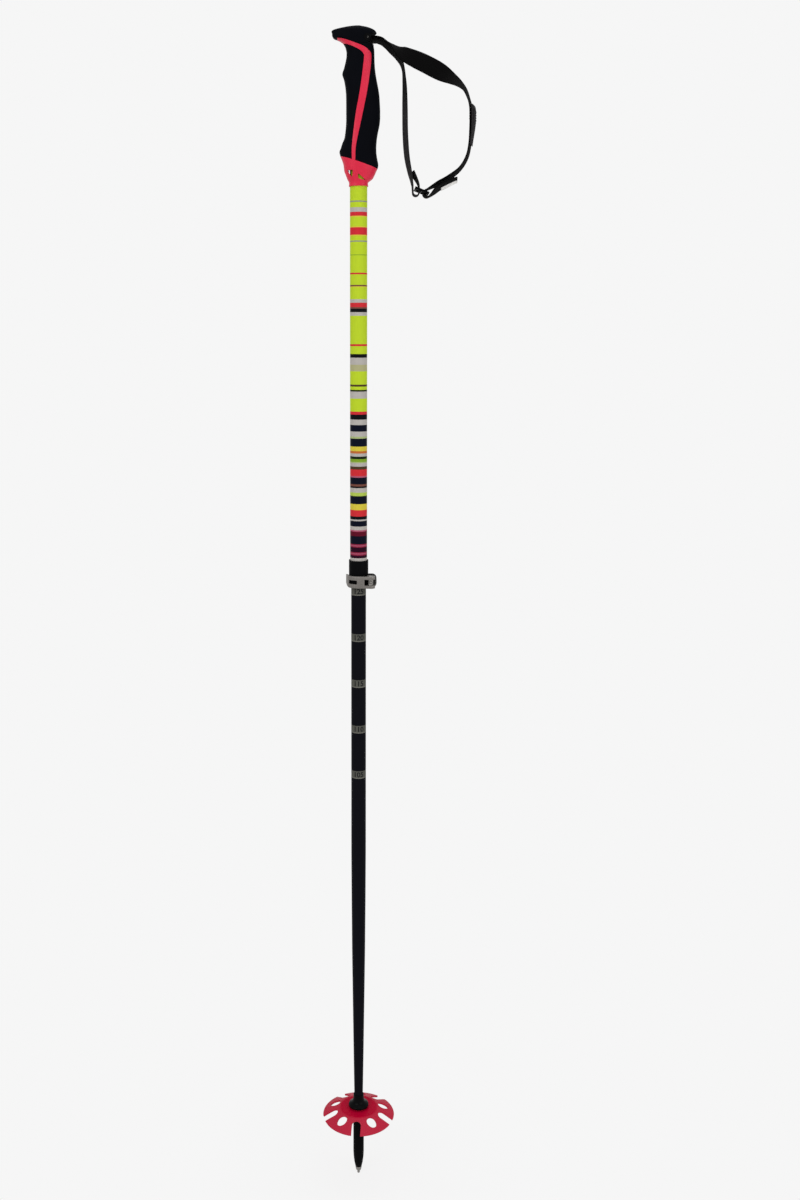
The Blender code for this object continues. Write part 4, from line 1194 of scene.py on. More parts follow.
    def loft(
        self, name: str, inset: float, low: float, high: float, step: float, ribs: float = 0.0
    ) -> bpy.types.Object:
        """Build the grip's form between two heights above its foot.

        Formula: at each height the section is x = reach |cos a|^(2/n) and y = depth |sin a|^(2/n), with
        the signs kept, where reach has one value in front and another behind. Ribs take away a sine
        along the height.

        Args:
            name: the object's name.
            inset: how far the form is drawn in.
            low: lowest height.
            high: highest height.
            step: spacing of the rows.
            ribs: depth of the ribs on the front.

        Returns:
            The closed form.
        """
        table = np.array(self.stations) * MM
        inside = (table[:, 0] > low) & (table[:, 0] < high)
        height = np.unique(np.concatenate([np.arange(low, high, step), table[inside, 0], [high]]))
        height = height[np.concatenate([[True], np.diff(height) > self.closest_rows])]
        cover = curve_through(table[:, 0], table[:, 1:], height)
        angle = circle(self.section_points)
        across = np.sign(np.cos(angle)) * np.abs(np.cos(angle)) ** (2.0 / self.section_power)
        depth = np.sign(np.sin(angle)) * np.abs(np.sin(angle)) ** (2.0 / self.section_power)
        ripple = self.rib_field(height, angle) * ribs
        reach = self.shaft_radius - inset + np.where(across > 0.0, cover[:, 1:2], cover[:, 0:1]) - ripple
        half = self.shaft_radius - inset + cover[:, 2:3] - ripple
        level = np.broadcast_to(self.foot + height[:, None], reach.shape)
        return surface(name, np.stack([across * reach, depth * half, level], axis=-1))

    def rib_field(self, height: np.ndarray, angle: np.ndarray) -> np.ndarray:
        """Return how deep the ribs are over the finger side, where they fade out at its ends and flanks.

        Args:
            height: heights above the grip's foot.
            angle: angles round the section.

        Returns:
            A depth from 0 to 1 for each height and angle.
        """
        wave = 0.5 - 0.5 * np.cos(2.0 * math.pi * height / self.rib_pitch)
        low_end = np.clip((height - self.rib_low) / self.rib_fade, 0.0, 1.0)
        high_end = np.clip((self.rib_high - height) / self.rib_fade, 0.0, 1.0)
        ends = low_end * high_end
        front = np.clip((-np.cos(angle) - self.rib_flank) / self.rib_flank, 0.0, 1.0)
        return (wave * ends)[:, None] * front[None, :]

    def stripe_edge(self, side: StripeEdge, extra: float = 0.0, runout: bool = False) -> np.ndarray:
        """Return one edge of the stripe.

        Args:
            side: which edge.
            extra: distance added to the half width.
            runout: whether the stripe's tip is carried on past the grip.

        Returns:
            Array of x and z.
        """
        rows = (self.stripe_runout, *self.stripe) if runout else self.stripe
        line = fine_line(np.array(rows) * MM)
        run = np.gradient(line[:, :2], axis=0)
        run /= np.linalg.norm(run, axis=1, keepdims=True)
        reach = line[:, 2:3] + extra
        edge = line[:, :2] + np.stack([-run[:, 1], run[:, 0]], axis=-1) * side.value * reach
        away = np.linalg.norm(edge[:, None] - line[None, :, :2], axis=2).min(axis=1)
        clear = away > reach[:, 0] - self.stripe_slack
        return edge[clear] + [0.0, self.foot]

    def below_skirt(self, extra: float) -> bpy.types.Object:
        """Return a block of everything below the slanted edge between pads and skirt.

        Args:
            extra: how far the edge is raised.

        Returns:
            The block.
        """
        wide = self.block
        level = np.array([-wide, wide])
        edge = self.foot + self.skirt_top - self.skirt_slope * (level + self.skirt_front) + extra
        low = self.foot - 2.0 * wide
        outline = np.array([[-wide, low], [wide, low], [wide, edge[1]], [-wide, edge[0]]])
        return prism("skirt_block", outline, -wide, wide)

    def round_cutter(self, name: str, rows: list[tuple[float, float]]) -> bpy.types.Object:
        """Return a solid turned about the shaft axis from radius and height."""
        return surface(name, turned(np.array(rows)))

    def pin_circle(self, radius: float, count: int) -> np.ndarray:
        """Draw a circle round the strap pin.

        Args:
            radius: the circle's radius.
            count: count of points.

        Returns:
            Array of x and z.
        """
        angle = circle(count)
        x = self.pin_place[0] + radius * np.cos(angle)
        z = self.pin_place[1] + radius * np.sin(angle)
        return np.stack([x, z], axis=-1)

    def build_core(self) -> None:
        """Build the red core: skirt with windows, bore and the stripe that shows on both sides."""
        wide = self.block
        inset = self.pad + self.gap
        core = self.loft("grip_red_core", inset, self.core_low, self.core_high, self.core_step)
        stripe = self.loft("stripe", self.stripe_inset, 0.0, self.top, self.smooth_step)
        rear = self.stripe_edge(StripeEdge.REAR)
        front = self.stripe_edge(StripeEdge.FRONT)
        band = np.concatenate([rear, front[::-1]])
        trim(stripe, prism("stripe_block", band, -wide, wide), Cut.COMMON)
        trim(core, stripe, Cut.JOIN)
        skirt = self.loft("skirt", 0.0, 0.0, self.skirt_high, self.smooth_step)
        trim(skirt, self.below_skirt(0.0), Cut.COMMON)
        trim(core, skirt, Cut.JOIN)
        bore = self.shaft_radius + self.gap
        rows = [(bore, self.foot - self.overrun), (bore, self.shaft_top + self.gap)]
        trim(core, self.round_cutter("bore", rows), Cut.AWAY)
        rows = [
            (bore, self.foot + self.hollow_low),
            (bore + self.hollow_flare, self.foot + self.hollow_high),
        ]
        trim(core, self.round_cutter("hollow", rows), Cut.AWAY)
        for corners in self.windows:
            rounded = rounded_profile([(x * MM, self.foot + z * MM, self.window_round) for x, z in corners])
            trim(core, prism("window", rounded, -wide, wide), Cut.AWAY)
            trim(core, prism("far_window", rounded + [0.0, self.window_rise], 0.0, wide), Cut.AWAY)
        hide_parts("grip_core")
        place(core, "handle", CORE_PLASTIC.make())

    def build_pads(self, rubber: bpy.types.Material) -> None:
        """Build the ribbed finger pad and the palm pad on the two sides of the stripe.

        Args:
            rubber: the grip's rubber.
        """
        wide = self.long_block
        low = self.foot - wide
        split = self.foot + self.head_foot - self.gap / 2.0
        front_edge = self.stripe_edge(StripeEdge.FRONT, self.gap, runout=True)
        foot_corners = np.array([[front_edge[-1, 0], low], [-wide, low], [-wide, front_edge[0, 1]]])
        front_outline = np.concatenate([front_edge, foot_corners])
        rear_edge = self.stripe_edge(StripeEdge.REAR, self.gap, runout=True)
        below_split = rear_edge[:, 1] < split
        behind = rear_edge[:, 0] > self.palm_front
        far_below = rear_edge[:, 1] < split - self.palm_drop
        rear_edge = rear_edge[below_split & (behind | far_below)]
        start = np.array([[rear_edge[0, 0] - (split - rear_edge[0, 1]), split]])
        rear_corners = np.array([[rear_edge[-1, 0], low], [wide, low], [wide, split]])
        rear_outline = np.concatenate([start, rear_edge, rear_corners])
        for name, node, outline, ribs in (
            ("grip_finger_pad", "grip_front_pad", front_outline, self.rib_depth),
            ("grip_palm_pad", "grip_rear_pad", rear_outline, 0.0),
        ):
            step = self.rib_step if ribs else self.smooth_step
            pad = self.loft(name, 0.0, 0.0, self.top, step, ribs)
            trim(pad, prism("pad_block", outline, -wide, wide), Cut.COMMON)
            pocket = self.loft("pocket", self.pad, self.core_low, self.core_high + self.gap, self.core_step)
            trim(pad, pocket, Cut.AWAY)
            trim(pad, self.below_skirt(self.gap), Cut.AWAY)
            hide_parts(node)
            place(pad, "handle", rubber)

    def build_head(self, rubber: bpy.types.Material) -> None:
        """Build the head with its beak, strap slot and pin hole.

        Args:
            rubber: the grip's rubber.
        """
        wide = self.long_block
        split = self.foot + self.head_foot + self.gap / 2.0
        edge = self.stripe_edge(StripeEdge.REAR, self.gap, runout=True)
        upper = edge[(edge[:, 1] > split) & (edge[:, 0] < self.head_rear)]
        corner = np.array([[upper[-1, 0] + (upper[-1, 1] - split), split]])
        top = split + wide
        far = np.array([[wide, split], [wide, top], [upper[0, 0], top]])
        head = self.loft("grip_head_cap", 0.0, self.head_low, self.top, self.head_step)
        trim(head, prism("head_block", np.concatenate([upper, corner, far]), -wide, wide), Cut.COMMON)
        pin_x, pin_z = self.pin_place
        reach = self.slot_reach
        slope = math.tan(math.radians(self.slot_angle))
        slot = np.array(
            [
                [pin_x - reach, split - self.overrun],
                [wide, split - self.overrun],
                [wide, pin_z + reach + (wide - pin_x) * slope],
                [pin_x + reach, pin_z + reach + reach * slope],
                [pin_x - reach, pin_z + reach],
            ]
        )
        trim(head, prism("slot", slot, -self.slot_half, self.slot_half), Cut.AWAY)
        hole = self.pin_circle(self.pin_hole, self.pin_hole_points)
        trim(head, prism("pin_hole", hole, -wide, wide), Cut.AWAY)
        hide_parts("grip_head")
        place(head, "handle", rubber)

    def pin_cap(self, name: str, side: Cheek) -> bpy.types.Object:
        """Return the round cover over one end of the strap pin, which follows the head's cheek.

        Args:
            name: the piece's name.
            side: the cheek that it covers.

        Returns:
            The cover, which stands out of the cheek a little.
        """
        cap = self.loft(name, -self.cap_rise, self.cap_low, self.cap_high, self.head_step)
        cheek = self.loft("under_cap", self.cap_seat, self.cap_under, self.top, self.head_step)
        trim(cap, cheek, Cut.AWAY)
        reach = sorted((side.value * self.slot_half, side.value * self.block))
        outline = self.pin_circle(self.cap_radius, self.cap_points)
        trim(cap, prism("cap_block", outline, *reach), Cut.COMMON)
        return cap

    def build(self) -> None:
        """Build every piece of the grip."""
        self.build_core()
        rubber = RUBBER.make()
        self.build_pads(rubber)
        self.build_head(rubber)
        pin = softened("strap_pin", "strap_cross_pin", self.pin_edge)
        place(pin, "handle", DARK_STEEL.make())
        black = BLACK_PLASTIC.make()
        for name, side in (("near_pin_cap", Cheek.NEAR), ("far_pin_cap", Cheek.FAR)):
            place(self.pin_cap(name, side), "handle", black)


@dataclass
class Strap:
    """Wrist strap: one length of webbing with its loops and tail, a sewn doubling and a slider."""

    pin: tuple[float, float] = (9.0 * MM, 1232.3 * MM)
    width: float = 20.0 * MM
    thickness: float = 1.4 * MM
    gap: float = 0.3 * MM
    pin_radius: float = 1.2 * MM
    doubling: float = 2.8 * MM
    doubling_reach: float = 3.3 * MM
    label_width: float = 9.5 * MM
    label_sheet: float = 0.5 * MM
    stitch_length: float = 2.0 * MM
    stitch_pitch: float = 2.7 * MM
    stitch_radius: float = 0.22 * MM
    stitch_rows: int = 7
    stitch_columns: int = 8
    seam_margin: float = 1.8 * MM
    # Where the sewn boxes start and end along the doubling and along the turned end
    doubling_seam: tuple[float, float] = (5.5 * MM, 17.5 * MM)
    end_seam: tuple[float, float] = (1.6 * MM, 8.0 * MM)
    section_points: int = 44
    edge_power: float = 0.45
    face_power: float = 0.6
    section_sharp: float = 70.0
    slider_edge: float = 0.4 * MM
    # The webbing turns from black to a painted grey for its lit face below this height under the pin, over
    # this run
    worn_top: float = -52.0 * MM
    worn_run: float = 24.0 * MM
    # The label covers the tail from this point of its fine route on
    label_start: int = 14
    # Millimetres from the pin: x, z and the radius of the webbing's middle round each slider bar
    inner_loop: tuple[float, float, float] = (50.4, -155.6, 3.2)
    outer_loop: tuple[float, float, float] = (61.7, -156.4, 3.8)
    # Turns round the slider's bars and the pin: first and last angle in degrees and count of points
    inner_turn: tuple[float, float, int] = (360.0, 180.0, 14)
    pin_turn: tuple[float, float, int] = (270.0, 90.0, 16)
    outer_turn: tuple[float, float, int] = (100.0, 290.0, 16)
    # Routes: x and z in millimetres from the pin, turn of the face in degrees, shift to the far side
    turn_back: tuple[tuple[float, float, float, float], ...] = (
        (46.6, -134.0, -9.0, 0.0),
        (48.4, -138.0, -8.0, 0.0),
        (50.8, -142.2, -5.0, 0.0),
        (52.8, -146.6, -2.0, 0.0),
        (53.6, -150.6, 0.0, 0.0),
    )
    inner_run: tuple[tuple[float, float, float, float], ...] = (
        (46.9, -148.5, 1.0, 0.0),
        (45.6, -141.5, 5.0, 0.0),
        (44.0, -134.4, 9.0, 0.0),
        (41.2, -120.0, 12.0, 0.0),
        (39.8, -105.3, 13.0, 0.0),
        (39.1, -90.8, 13.0, 0.0),
        (38.9, -76.3, 13.0, 0.0),
        (38.7, -61.8, 12.0, 0.0),
        (38.5, -50.0, 10.0, 0.5),
        (38.0, -40.0, 7.0, 1.8),
        (37.2, -30.2, 4.0, 3.6),
        (35.4, -23.2, 6.0, 5.0),
        (32.2, -18.0, 7.0, 6.0),
        (28.9, -13.9, 8.0, 6.2),
        (24.7, -9.9, 9.0, 5.6),
        (20.0, -5.9, 7.0, 3.8),
        (15.0, -3.2, 3.0, 1.5),
        (10.0, -2.0, 0.0, 0.0),
    )
    outer_run: tuple[tuple[float, float, float, float], ...] = (
        (10.0, 1.2, 0.0, 0.0),
        (15.0, 0.0, 3.0, -1.5),
        (20.0, -3.0, 9.0, -3.8),
        (25.0, -6.5, 16.0, -5.6),
        (28.0, -9.1, 24.0, -6.0),
        (31.0, -11.6, 34.0, -6.2),
        (35.0, -14.3, 51.0, -5.6),
        (41.7, -17.4, 62.0, -4.0),
        (50.8, -20.8, 72.0, -1.0),
        (60.0, -24.8, 76.0, 0.0),
        (70.2, -30.1, 76.0, 0.0),
        (77.4, -34.1, 68.0, 0.0),
        (86.4, -39.2, 48.0, 0.0),
        (93.9, -44.0, 33.0, 0.0),
        (100.4, -50.4, 20.5, 0.0),
        (104.4, -59.3, 14.5, 0.0),
        (106.4, -66.5, 13.5, 0.0),
        (107.2, -76.5, 13.0, 0.0),
        (107.0, -91.5, 13.0, 0.0),
        (106.0, -106.5, 12.0, 0.0),
        (103.0, -119.5, 11.0, 0.0),
        (95.5, -131.5, 10.0, 0.0),
        (83.0, -141.0, 12.0, 0.0),
        (74.0, -145.9, 12.0, 0.0),
        (67.5, -149.2, 6.0, 0.0),
    )
    tail: tuple[tuple[float, float, float, float], ...] = (
        (66.5, -157.4, -6.0, 0.0),
        (70.2, -153.9, -12.0, 0.0),
        (74.5, -150.5, -13.0, 0.0),
        (79.7, -147.7, -14.0, 0.0),
        (87.9, -143.7, -12.0, 0.0),
        (93.2, -141.9, -10.0, 0.0),
    )
    overlap: tuple[tuple[float, float, float, float], ...] = (
        (109.5, -66.2, 14.0, -0.55),
        (109.8, -72.0, 13.5, -0.55),
        (109.8, -80.0, 13.0, -0.55),
        (109.7, -91.4, 13.0, -0.55),
        (109.2, -100.0, 12.5, -0.55),
        (108.6, -107.0, 12.0, -0.55),
    )
    # Millimetres along the doubling and the share of its full thickness there
    doubling_taper: tuple[tuple[float, float], ...] = (
        (0.0, 0.60),
        (1.5, 0.88),
        (5.0, 1.0),
        (18.0, 1.0),
        (26.0, 0.62),
        (34.0, 0.30),
        (41.0, 0.18),
    )

    def loop(
        self, bar: tuple[float, float, float], start: float, end: float, steps: int
    ) -> np.ndarray:
        """Return a route round a pin or bar.

        Args:
            bar: x and z from the pin and the radius of the webbing's middle, in millimetres.
            start: first angle in degrees.
            end: last angle in degrees.
            steps: count of points.

        Returns:
            Rows of x, z, turn and shift in metres.
        """
        angle = np.radians(np.linspace(start, end, steps))
        x = bar[0] + bar[2] * np.cos(angle)
        z = bar[1] + bar[2] * np.sin(angle)
        return np.stack([x, z, np.zeros(steps), np.zeros(steps)], axis=-1) * MM

    def smooth(self, rows: tuple[tuple[float, float, float, float], ...]) -> np.ndarray:
        """Return a route of places in millimetres as a fine smooth route in metres."""
        return fine_line(np.array(rows) * [MM, MM, 1.0, MM])

    def lie(self, route: np.ndarray) -> tuple[np.ndarray, np.ndarray, np.ndarray, np.ndarray]:
        """Return how the webbing lies along a route.

        Formula: the width direction turns from Y towards the route's upper side by the route's own
        angle, and the thickness direction stands square to it and to the route.

        Args:
            route: x and z from the pin, the turn of the face in degrees and the shift to the far side.

        Returns:
            Middle points, width directions, thickness directions and the length so far.
        """
        run = np.gradient(route[:, :2], axis=0)
        run /= np.linalg.norm(run, axis=1, keepdims=True)
        lift = np.stack([-run[:, 1], np.zeros(len(run)), run[:, 0]], axis=-1)
        turn = np.radians(route[:, 2:3])
        side = np.array([0.0, 1.0, 0.0])
        wide = np.cos(turn) * side + np.sin(turn) * lift
        thick = np.cos(turn) * lift - np.sin(turn) * side
        middle = np.stack([self.pin[0] + route[:, 0], route[:, 3], self.pin[1] + route[:, 1]], axis=-1)
        steps = np.linalg.norm(np.diff(middle, axis=0), axis=1)
        return middle, wide, thick, np.concatenate([[0.0], np.cumsum(steps)])

    def ribbon(
        self,
        name: str,
        route: np.ndarray,
        width: float,
        thickness: np.ndarray,
        tone: np.ndarray,
        offset: tuple[float, float] = (0.0, 0.0),
    ) -> bpy.types.Object:
        """Carry a flat rounded section along a route.

        Formula: point = middle + across w + through t, where w and t are the width and thickness
        directions and across and through run round a flat superellipse.

        Args:
            name: the piece's name.
            route: x and z from the pin, the turn of the face in degrees and the shift to the far side.
            width: width of the webbing.
            thickness: thickness at each point of the route.
            tone: 0 for plain black to 1 for painted grey at each point of the route.
            offset: shift of the section across and through.

        Returns:
            The webbing, with its lay attribute.
        """
        middle, wide, thick, along = self.lie(route)
        phase = circle(self.section_points)
        side = np.sign(np.cos(phase)) * np.abs(np.cos(phase)) ** self.edge_power
        across = side * width / 2.0 + offset[0]
        face = np.sign(np.sin(phase)) * np.abs(np.sin(phase)) ** self.face_power / 2.0
        # A thinner stretch keeps its lower face in line
        sunk = (thickness.max() - thickness[:, None]) / 2.0
        through = face[None, :] * thickness[:, None] - sunk + offset[1]
        points = middle[:, None] + wide[:, None] * across[None, :, None]
        points = points + thick[:, None] * through[..., None]
        item = surface(name, points, sharp=self.section_sharp)
        shape = points.shape[:2]
        lay = np.stack(
            [
                np.broadcast_to(across, shape),
                np.broadcast_to(along[:, None], shape),
                np.broadcast_to(tone[:, None], shape),
            ],
            axis=-1,
        )
        attribute = item.data.attributes.new("lay", "FLOAT_VECTOR", "POINT")
        attribute.data.foreach_set("vector", lay.astype(np.float32).ravel())
        LOG.info("%s is %.0f mm long", name, along[-1] / MM)
        return item

    def seam(
        self, route: np.ndarray, spots: np.ndarray, lengthwise: np.ndarray, level: float
    ) -> np.ndarray:
        """Return stitches on one face of the webbing.

        Formula: point = spot + d (length / 2) sin u + (e cos v + t sin v) radius sqrt(cos u), where d is
        the stitch's direction, e is square to it in the face and t is the thickness direction.

        Args:
            route: the route of the webbing.
            spots: length along and place across for each stitch.
            lengthwise: whether each stitch runs along the webbing.
            level: height of the face above the middle of the webbing.

        Returns:
            Array of stitches, steps along, steps round and three coordinates.
        """
        middle, wide, thick, along = self.lie(route)
        columns = np.concatenate([middle, wide, thick], axis=1)
        there = np.stack([np.interp(spots[:, 0], along, column) for column in columns.T], axis=-1)
        across = there[:, 3:6]
        outward = there[:, 6:9]
        forward = np.cross(across, outward)
        centre = there[:, 0:3] + across * spots[:, 1:2] + outward * level
        way = np.where(lengthwise[:, None], forward, across)
        beside = np.where(lengthwise[:, None], across, forward)
        # The least share keeps the stitch's ends from closing to a point
        least = 0.02
        bend = np.linspace(-math.pi / 2.0, math.pi / 2.0, self.stitch_rows)[None, :, None, None]
        ring = circle(self.stitch_columns)[None, None, :, None]
        girth = self.stitch_radius * np.sqrt(np.maximum(np.cos(bend), least))
        round_part = beside[:, None, None] * np.cos(ring) + outward[:, None, None] * np.sin(ring)
        length_part = way[:, None, None] * np.sin(bend) * self.stitch_length / 2.0
        return centre[:, None, None] + length_part + round_part * girth

    def sewn_box(self, start: float, end: float, half: float) -> tuple[np.ndarray, np.ndarray]:
        """Return the spots and directions of a sewn box between two lengths along the webbing.

        Args:
            start: where the box starts along the webbing.
            end: where it ends.
            half: half of the box's width.

        Returns:
            Length along and place across for each stitch, and whether it runs along.
        """
        down = np.arange(start + self.stitch_pitch / 2.0, end, self.stitch_pitch)
        over = np.arange(-half + self.stitch_pitch / 2.0, half, self.stitch_pitch)
        sides = [np.stack([down, np.full_like(down, edge)], axis=-1) for edge in (-half, half)]
        ends = [np.stack([np.full_like(over, edge), over], axis=-1) for edge in (start, end)]
        lengthwise = np.repeat([True, False], [2 * len(down), 2 * len(over)])
        return np.concatenate(sides + ends), lengthwise

    def build_stitches(self, doubled: np.ndarray, turned_end: np.ndarray) -> None:
        """Build the seams of the doubling and of the webbing's turned end.

        Args:
            doubled: route of the doubling.
            turned_end: route of the turned end.
        """
        half = self.width / 2.0 - self.seam_margin
        long_box = self.sewn_box(*self.doubling_seam, half)
        short_box = self.sewn_box(*self.end_seam, half)
        seams = [
            self.seam(doubled, *long_box, self.doubling / 2.0),
            self.seam(doubled, *long_box, -self.doubling_reach),
            self.seam(turned_end, *short_box, self.thickness / 2.0),
        ]
        stitches = patches("strap_stitches", np.concatenate(seams), close_columns=True)
        place(stitches, "strap", THREAD.make())

    def build_webbing(
        self, turned_end: np.ndarray, tail: np.ndarray, fabric: bpy.types.Material
    ) -> None:
        """Build the webbing in one length, painted grey towards its turned end, where the grey stands for
        the lit face of the inner run.

        Args:
            turned_end: route of the turned end.
            tail: route of the free tail.
            fabric: the webbing's finish.
        """
        pin_loop = (0.0, 0.0, (self.pin_radius + self.gap + self.thickness / 2.0) / MM)
        inner = self.smooth(self.inner_run)
        # The loops go round the slider's inner bar, the pin in the head and the slider's outer bar
        pieces = [
            turned_end,
            self.loop(self.inner_loop, *self.inner_turn),
            inner,
            self.loop(pin_loop, *self.pin_turn),
            self.smooth(self.outer_run),
            self.loop(self.outer_loop, *self.outer_turn),
            tail,
        ]
        route = np.concatenate(pieces)
        before_inner = len(pieces[0]) + len(pieces[1])
        # Painted grey: all of the turned end and its loop, and the lit lower part of the inner run
        tone = np.zeros(len(route))
        tone[:before_inner] = 1.0
        tone_shift = np.clip((self.worn_top - inner[:, 1]) / self.worn_run, 0.0, 1.0)
        tone[before_inner : before_inner + len(inner)] = tone_shift
        even = np.full(len(route), self.thickness)
        webbing = self.ribbon("strap_web", route, self.width, even, tone)
        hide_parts("strap_webbing")
        place(webbing, "strap", fabric)

    def build_doubling(self, doubled: np.ndarray, fabric: bpy.types.Material) -> None:
        """Build the doubling, which thins out towards its lower end.

        Args:
            doubled: route of the doubling.
            fabric: the webbing's finish.
        """
        length = self.lie(doubled)[3]
        taper = np.array(self.doubling_taper)
        swell = np.interp(length, taper[:, 0] * MM, taper[:, 1])
        # The doubling is painted grey all over
        grey = np.ones(len(doubled))
        patch = self.ribbon("strap_doubling", doubled, self.width, self.doubling * swell, grey)
        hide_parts("strap_overlap")
        place(patch, "strap", fabric)

    def build_label(self, tail: np.ndarray) -> None:
        """Build the bare label on the tail.

        Args:
            tail: route of the free tail.
        """
        route = tail[self.label_start :]
        label = self.ribbon(
            "strap_bare_label",
            route,
            self.label_width,
            np.full(len(route), self.label_sheet),
            np.zeros(len(route)),
            ((self.width - self.label_width) / 2.0, -(self.thickness + self.label_sheet) / 2.0),
        )
        place(label, "strap", LABEL.make())

    def build(self) -> None:
        """Build the webbing, the doubling with its seams, the bare label and the slider."""
        turned_end = self.smooth(self.turn_back)
        tail = self.smooth(self.tail)
        doubled = self.smooth(self.overlap)
        fabric = STRAP_WEB.make()
        self.build_webbing(turned_end, tail, fabric)
        self.build_doubling(doubled, fabric)
        self.build_stitches(doubled, turned_end)
        self.build_label(tail)
        slider = softened("strap_slider", "strap_three_bar_slider", self.slider_edge)
        place(slider, "strap", BLACK_PLASTIC.make())


@dataclass
class Basket:
    """Red dished basket with notches from its rim and oval holes, and the flared collar above it."""

    hub_bore: float = 5.6 * MM
    hub_radius: float = 9.0 * MM
    hub_foot: float = 65.5 * MM
    hub_top: float = 78.8 * MM
    disc_top: float = 77.6 * MM
    disc_radius: float = 20.0 * MM
    radius: float = 39.2 * MM
    drop: float = 8.4 * MM
    sheet: float = 1.8 * MM
    count: int = 5
    notch_half: float = 5.0 * MM
    notch_start: float = 23.8 * MM
    notch_turn: float = 265.0
    hole_middle: float = 27.9 * MM
    hole_half_length: float = 5.7 * MM
    hole_half_width: float = 5.2 * MM
    hub_overlap: float = 0.6 * MM
    closest_radii: float = 0.02 * MM
    bow: float = 0.10
    # Run over which the painted sheen fades in past the flat disc
    thin_blend: float = 1.2 * MM
    edge_round: float = 0.5 * MM
    edge_angle: float = 50.0
    # Counts of steps along the hole, the notch's round end and the plain sheet, and across a petal
    hole_steps: int = 25
    notch_steps: int = 12
    sheet_steps: int = 26
    petal_steps: int = 13
    hub_bore_round: float = 0.3 * MM
    hub_foot_round: float = 0.5 * MM
    hub_top_round: float = 0.8 * MM
    collar_wall: float = 0.6 * MM
    collar_foot: float = 79.1 * MM
    collar_top: float = 92.5 * MM
    collar_bore: float = 4.999 * MM
    collar_bore_round: float = 0.2 * MM
    collar_top_round: float = 0.4 * MM
    lip_radius: float = 10.999 * MM
    lip_height: float = 2.4 * MM
    lip_foot_round: float = 0.9 * MM
    lip_top_round: float = 1.1 * MM
    # Bends of the collar's hollow curve: share of its flare, share of its rise, and round
    collar_bends: tuple[tuple[float, float, float], ...] = (
        (0.30, 0.20, 2.2 * MM),
        (0.05, 0.52, 3.0 * MM),
    )

    def petals(self) -> np.ndarray:
        """Return all half petals as grids of points.

        Formula: at each radius r the angle from the petal's middle line runs from the hole's edge,
        asin(h / r), to the notch's edge, pi / count - asin(w / r), where h and w are the half widths of
        the oval hole and the round-ended notch at that radius. The height falls from the flat disc to
        the rim.

        Returns:
            Array of half petals, radii, steps across and three coordinates.
        """
        along_hole = 0.5 - 0.5 * np.cos(np.linspace(0.0, math.pi, self.hole_steps))
        hole_radii = self.hole_middle + self.hole_half_length * (2.0 * along_hole - 1.0)
        along_notch = 1.0 - np.cos(np.linspace(0.0, math.pi / 2.0, self.notch_steps))
        notch_radii = self.notch_start + self.notch_half * along_notch
        plain = np.linspace(self.hub_radius - self.hub_overlap, self.radius, self.sheet_steps)
        radius = np.unique(np.concatenate([hole_radii, notch_radii, plain]))
        radius = radius[np.concatenate([[True], np.diff(radius) > self.closest_radii])]
        off_hole = np.clip((radius - self.hole_middle) / self.hole_half_length, -1.0, 1.0)
        hole = self.hole_half_width * np.sqrt(1.0 - off_hole**2)
        off_notch = np.clip((self.notch_start + self.notch_half - radius) / self.notch_half, 0.0, 1.0)
        notch = np.where(radius < self.notch_start, 0.0, self.notch_half * np.sqrt(1.0 - off_notch**2))
        start = np.arcsin(hole / radius)[:, None]
        end = math.pi / self.count - np.arcsin(notch / radius)[:, None]
        angle = start + (end - start) * np.linspace(0.0, 1.0, self.petal_steps)[None, :]
        slope = np.clip((radius - self.disc_radius) / (self.radius - self.disc_radius), 0.0, 1.0)
        ease = slope + self.bow * (slope**2 - slope)
        height = np.broadcast_to((self.disc_top - self.drop * ease)[:, None], angle.shape)
        pitch = 2.0 * math.pi / self.count
        middle = math.radians(self.notch_turn) + pitch / 2.0 + pitch * np.arange(self.count)
        turn = np.stack([middle[:, None, None] + angle, middle[:, None, None] - angle], axis=1)
        turn = turn.reshape(-1, *angle.shape)
        reach = radius[None, :, None]
        level = np.broadcast_to(height, turn.shape)
        return np.stack([reach * np.cos(turn), reach * np.sin(turn), level], axis=-1)

    def build(self) -> None:
        """Build the basket's sheet with its hub, and the collar."""
        self.build_basket()
        self.build_collar()

    def build_basket(self) -> None:
        """Build the sheet with its petals, and the hub."""
        sheet = patches("basket_sheet", self.petals(), close_columns=False)
        reach = np.linalg.norm(vertex_points(sheet.data)[:, :2], axis=1)
        # The petals get the paler red of the painted sheen, while the flat disc keeps its deep red
        sheen_share = np.clip((reach - self.disc_radius) / self.thin_blend, 0.0, 1.0)
        painted_sheen = sheet.data.attributes.new("painted_sheen", "FLOAT", "POINT")
        painted_sheen.data.foreach_set("value", sheen_share.astype(np.float32))
        # The wall grows downwards, whichever way the sheet's faces point
        upward = sum(face.normal.z for face in sheet.data.polygons)
        wall = sheet.modifiers.new("wall", "SOLIDIFY")
        wall.thickness = self.sheet
        wall.offset = -1.0 if upward > 0.0 else 1.0
        wall.use_even_offset = True
        edges = sheet.modifiers.new("soft edges", "BEVEL")
        edges.width = self.edge_round
        edges.segments = EDGE_STEPS
        edges.limit_method = "ANGLE"
        edges.angle_limit = math.radians(self.edge_angle)
        red = BASKET_PLASTIC.make()
        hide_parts("basket")
        place(sheet, "basket", red)
        profile = rounded_profile(
            [
                (self.hub_bore, self.hub_foot, self.hub_bore_round),
                (self.hub_radius, self.hub_foot, self.hub_foot_round),
                (self.hub_radius, self.hub_top, self.hub_top_round),
                (self.hub_bore, self.hub_top, self.hub_bore_round),
            ]
        )
        hub = surface("basket_hub", turned(profile), close_rows=True, caps=False)
        place(hub, "basket", red)

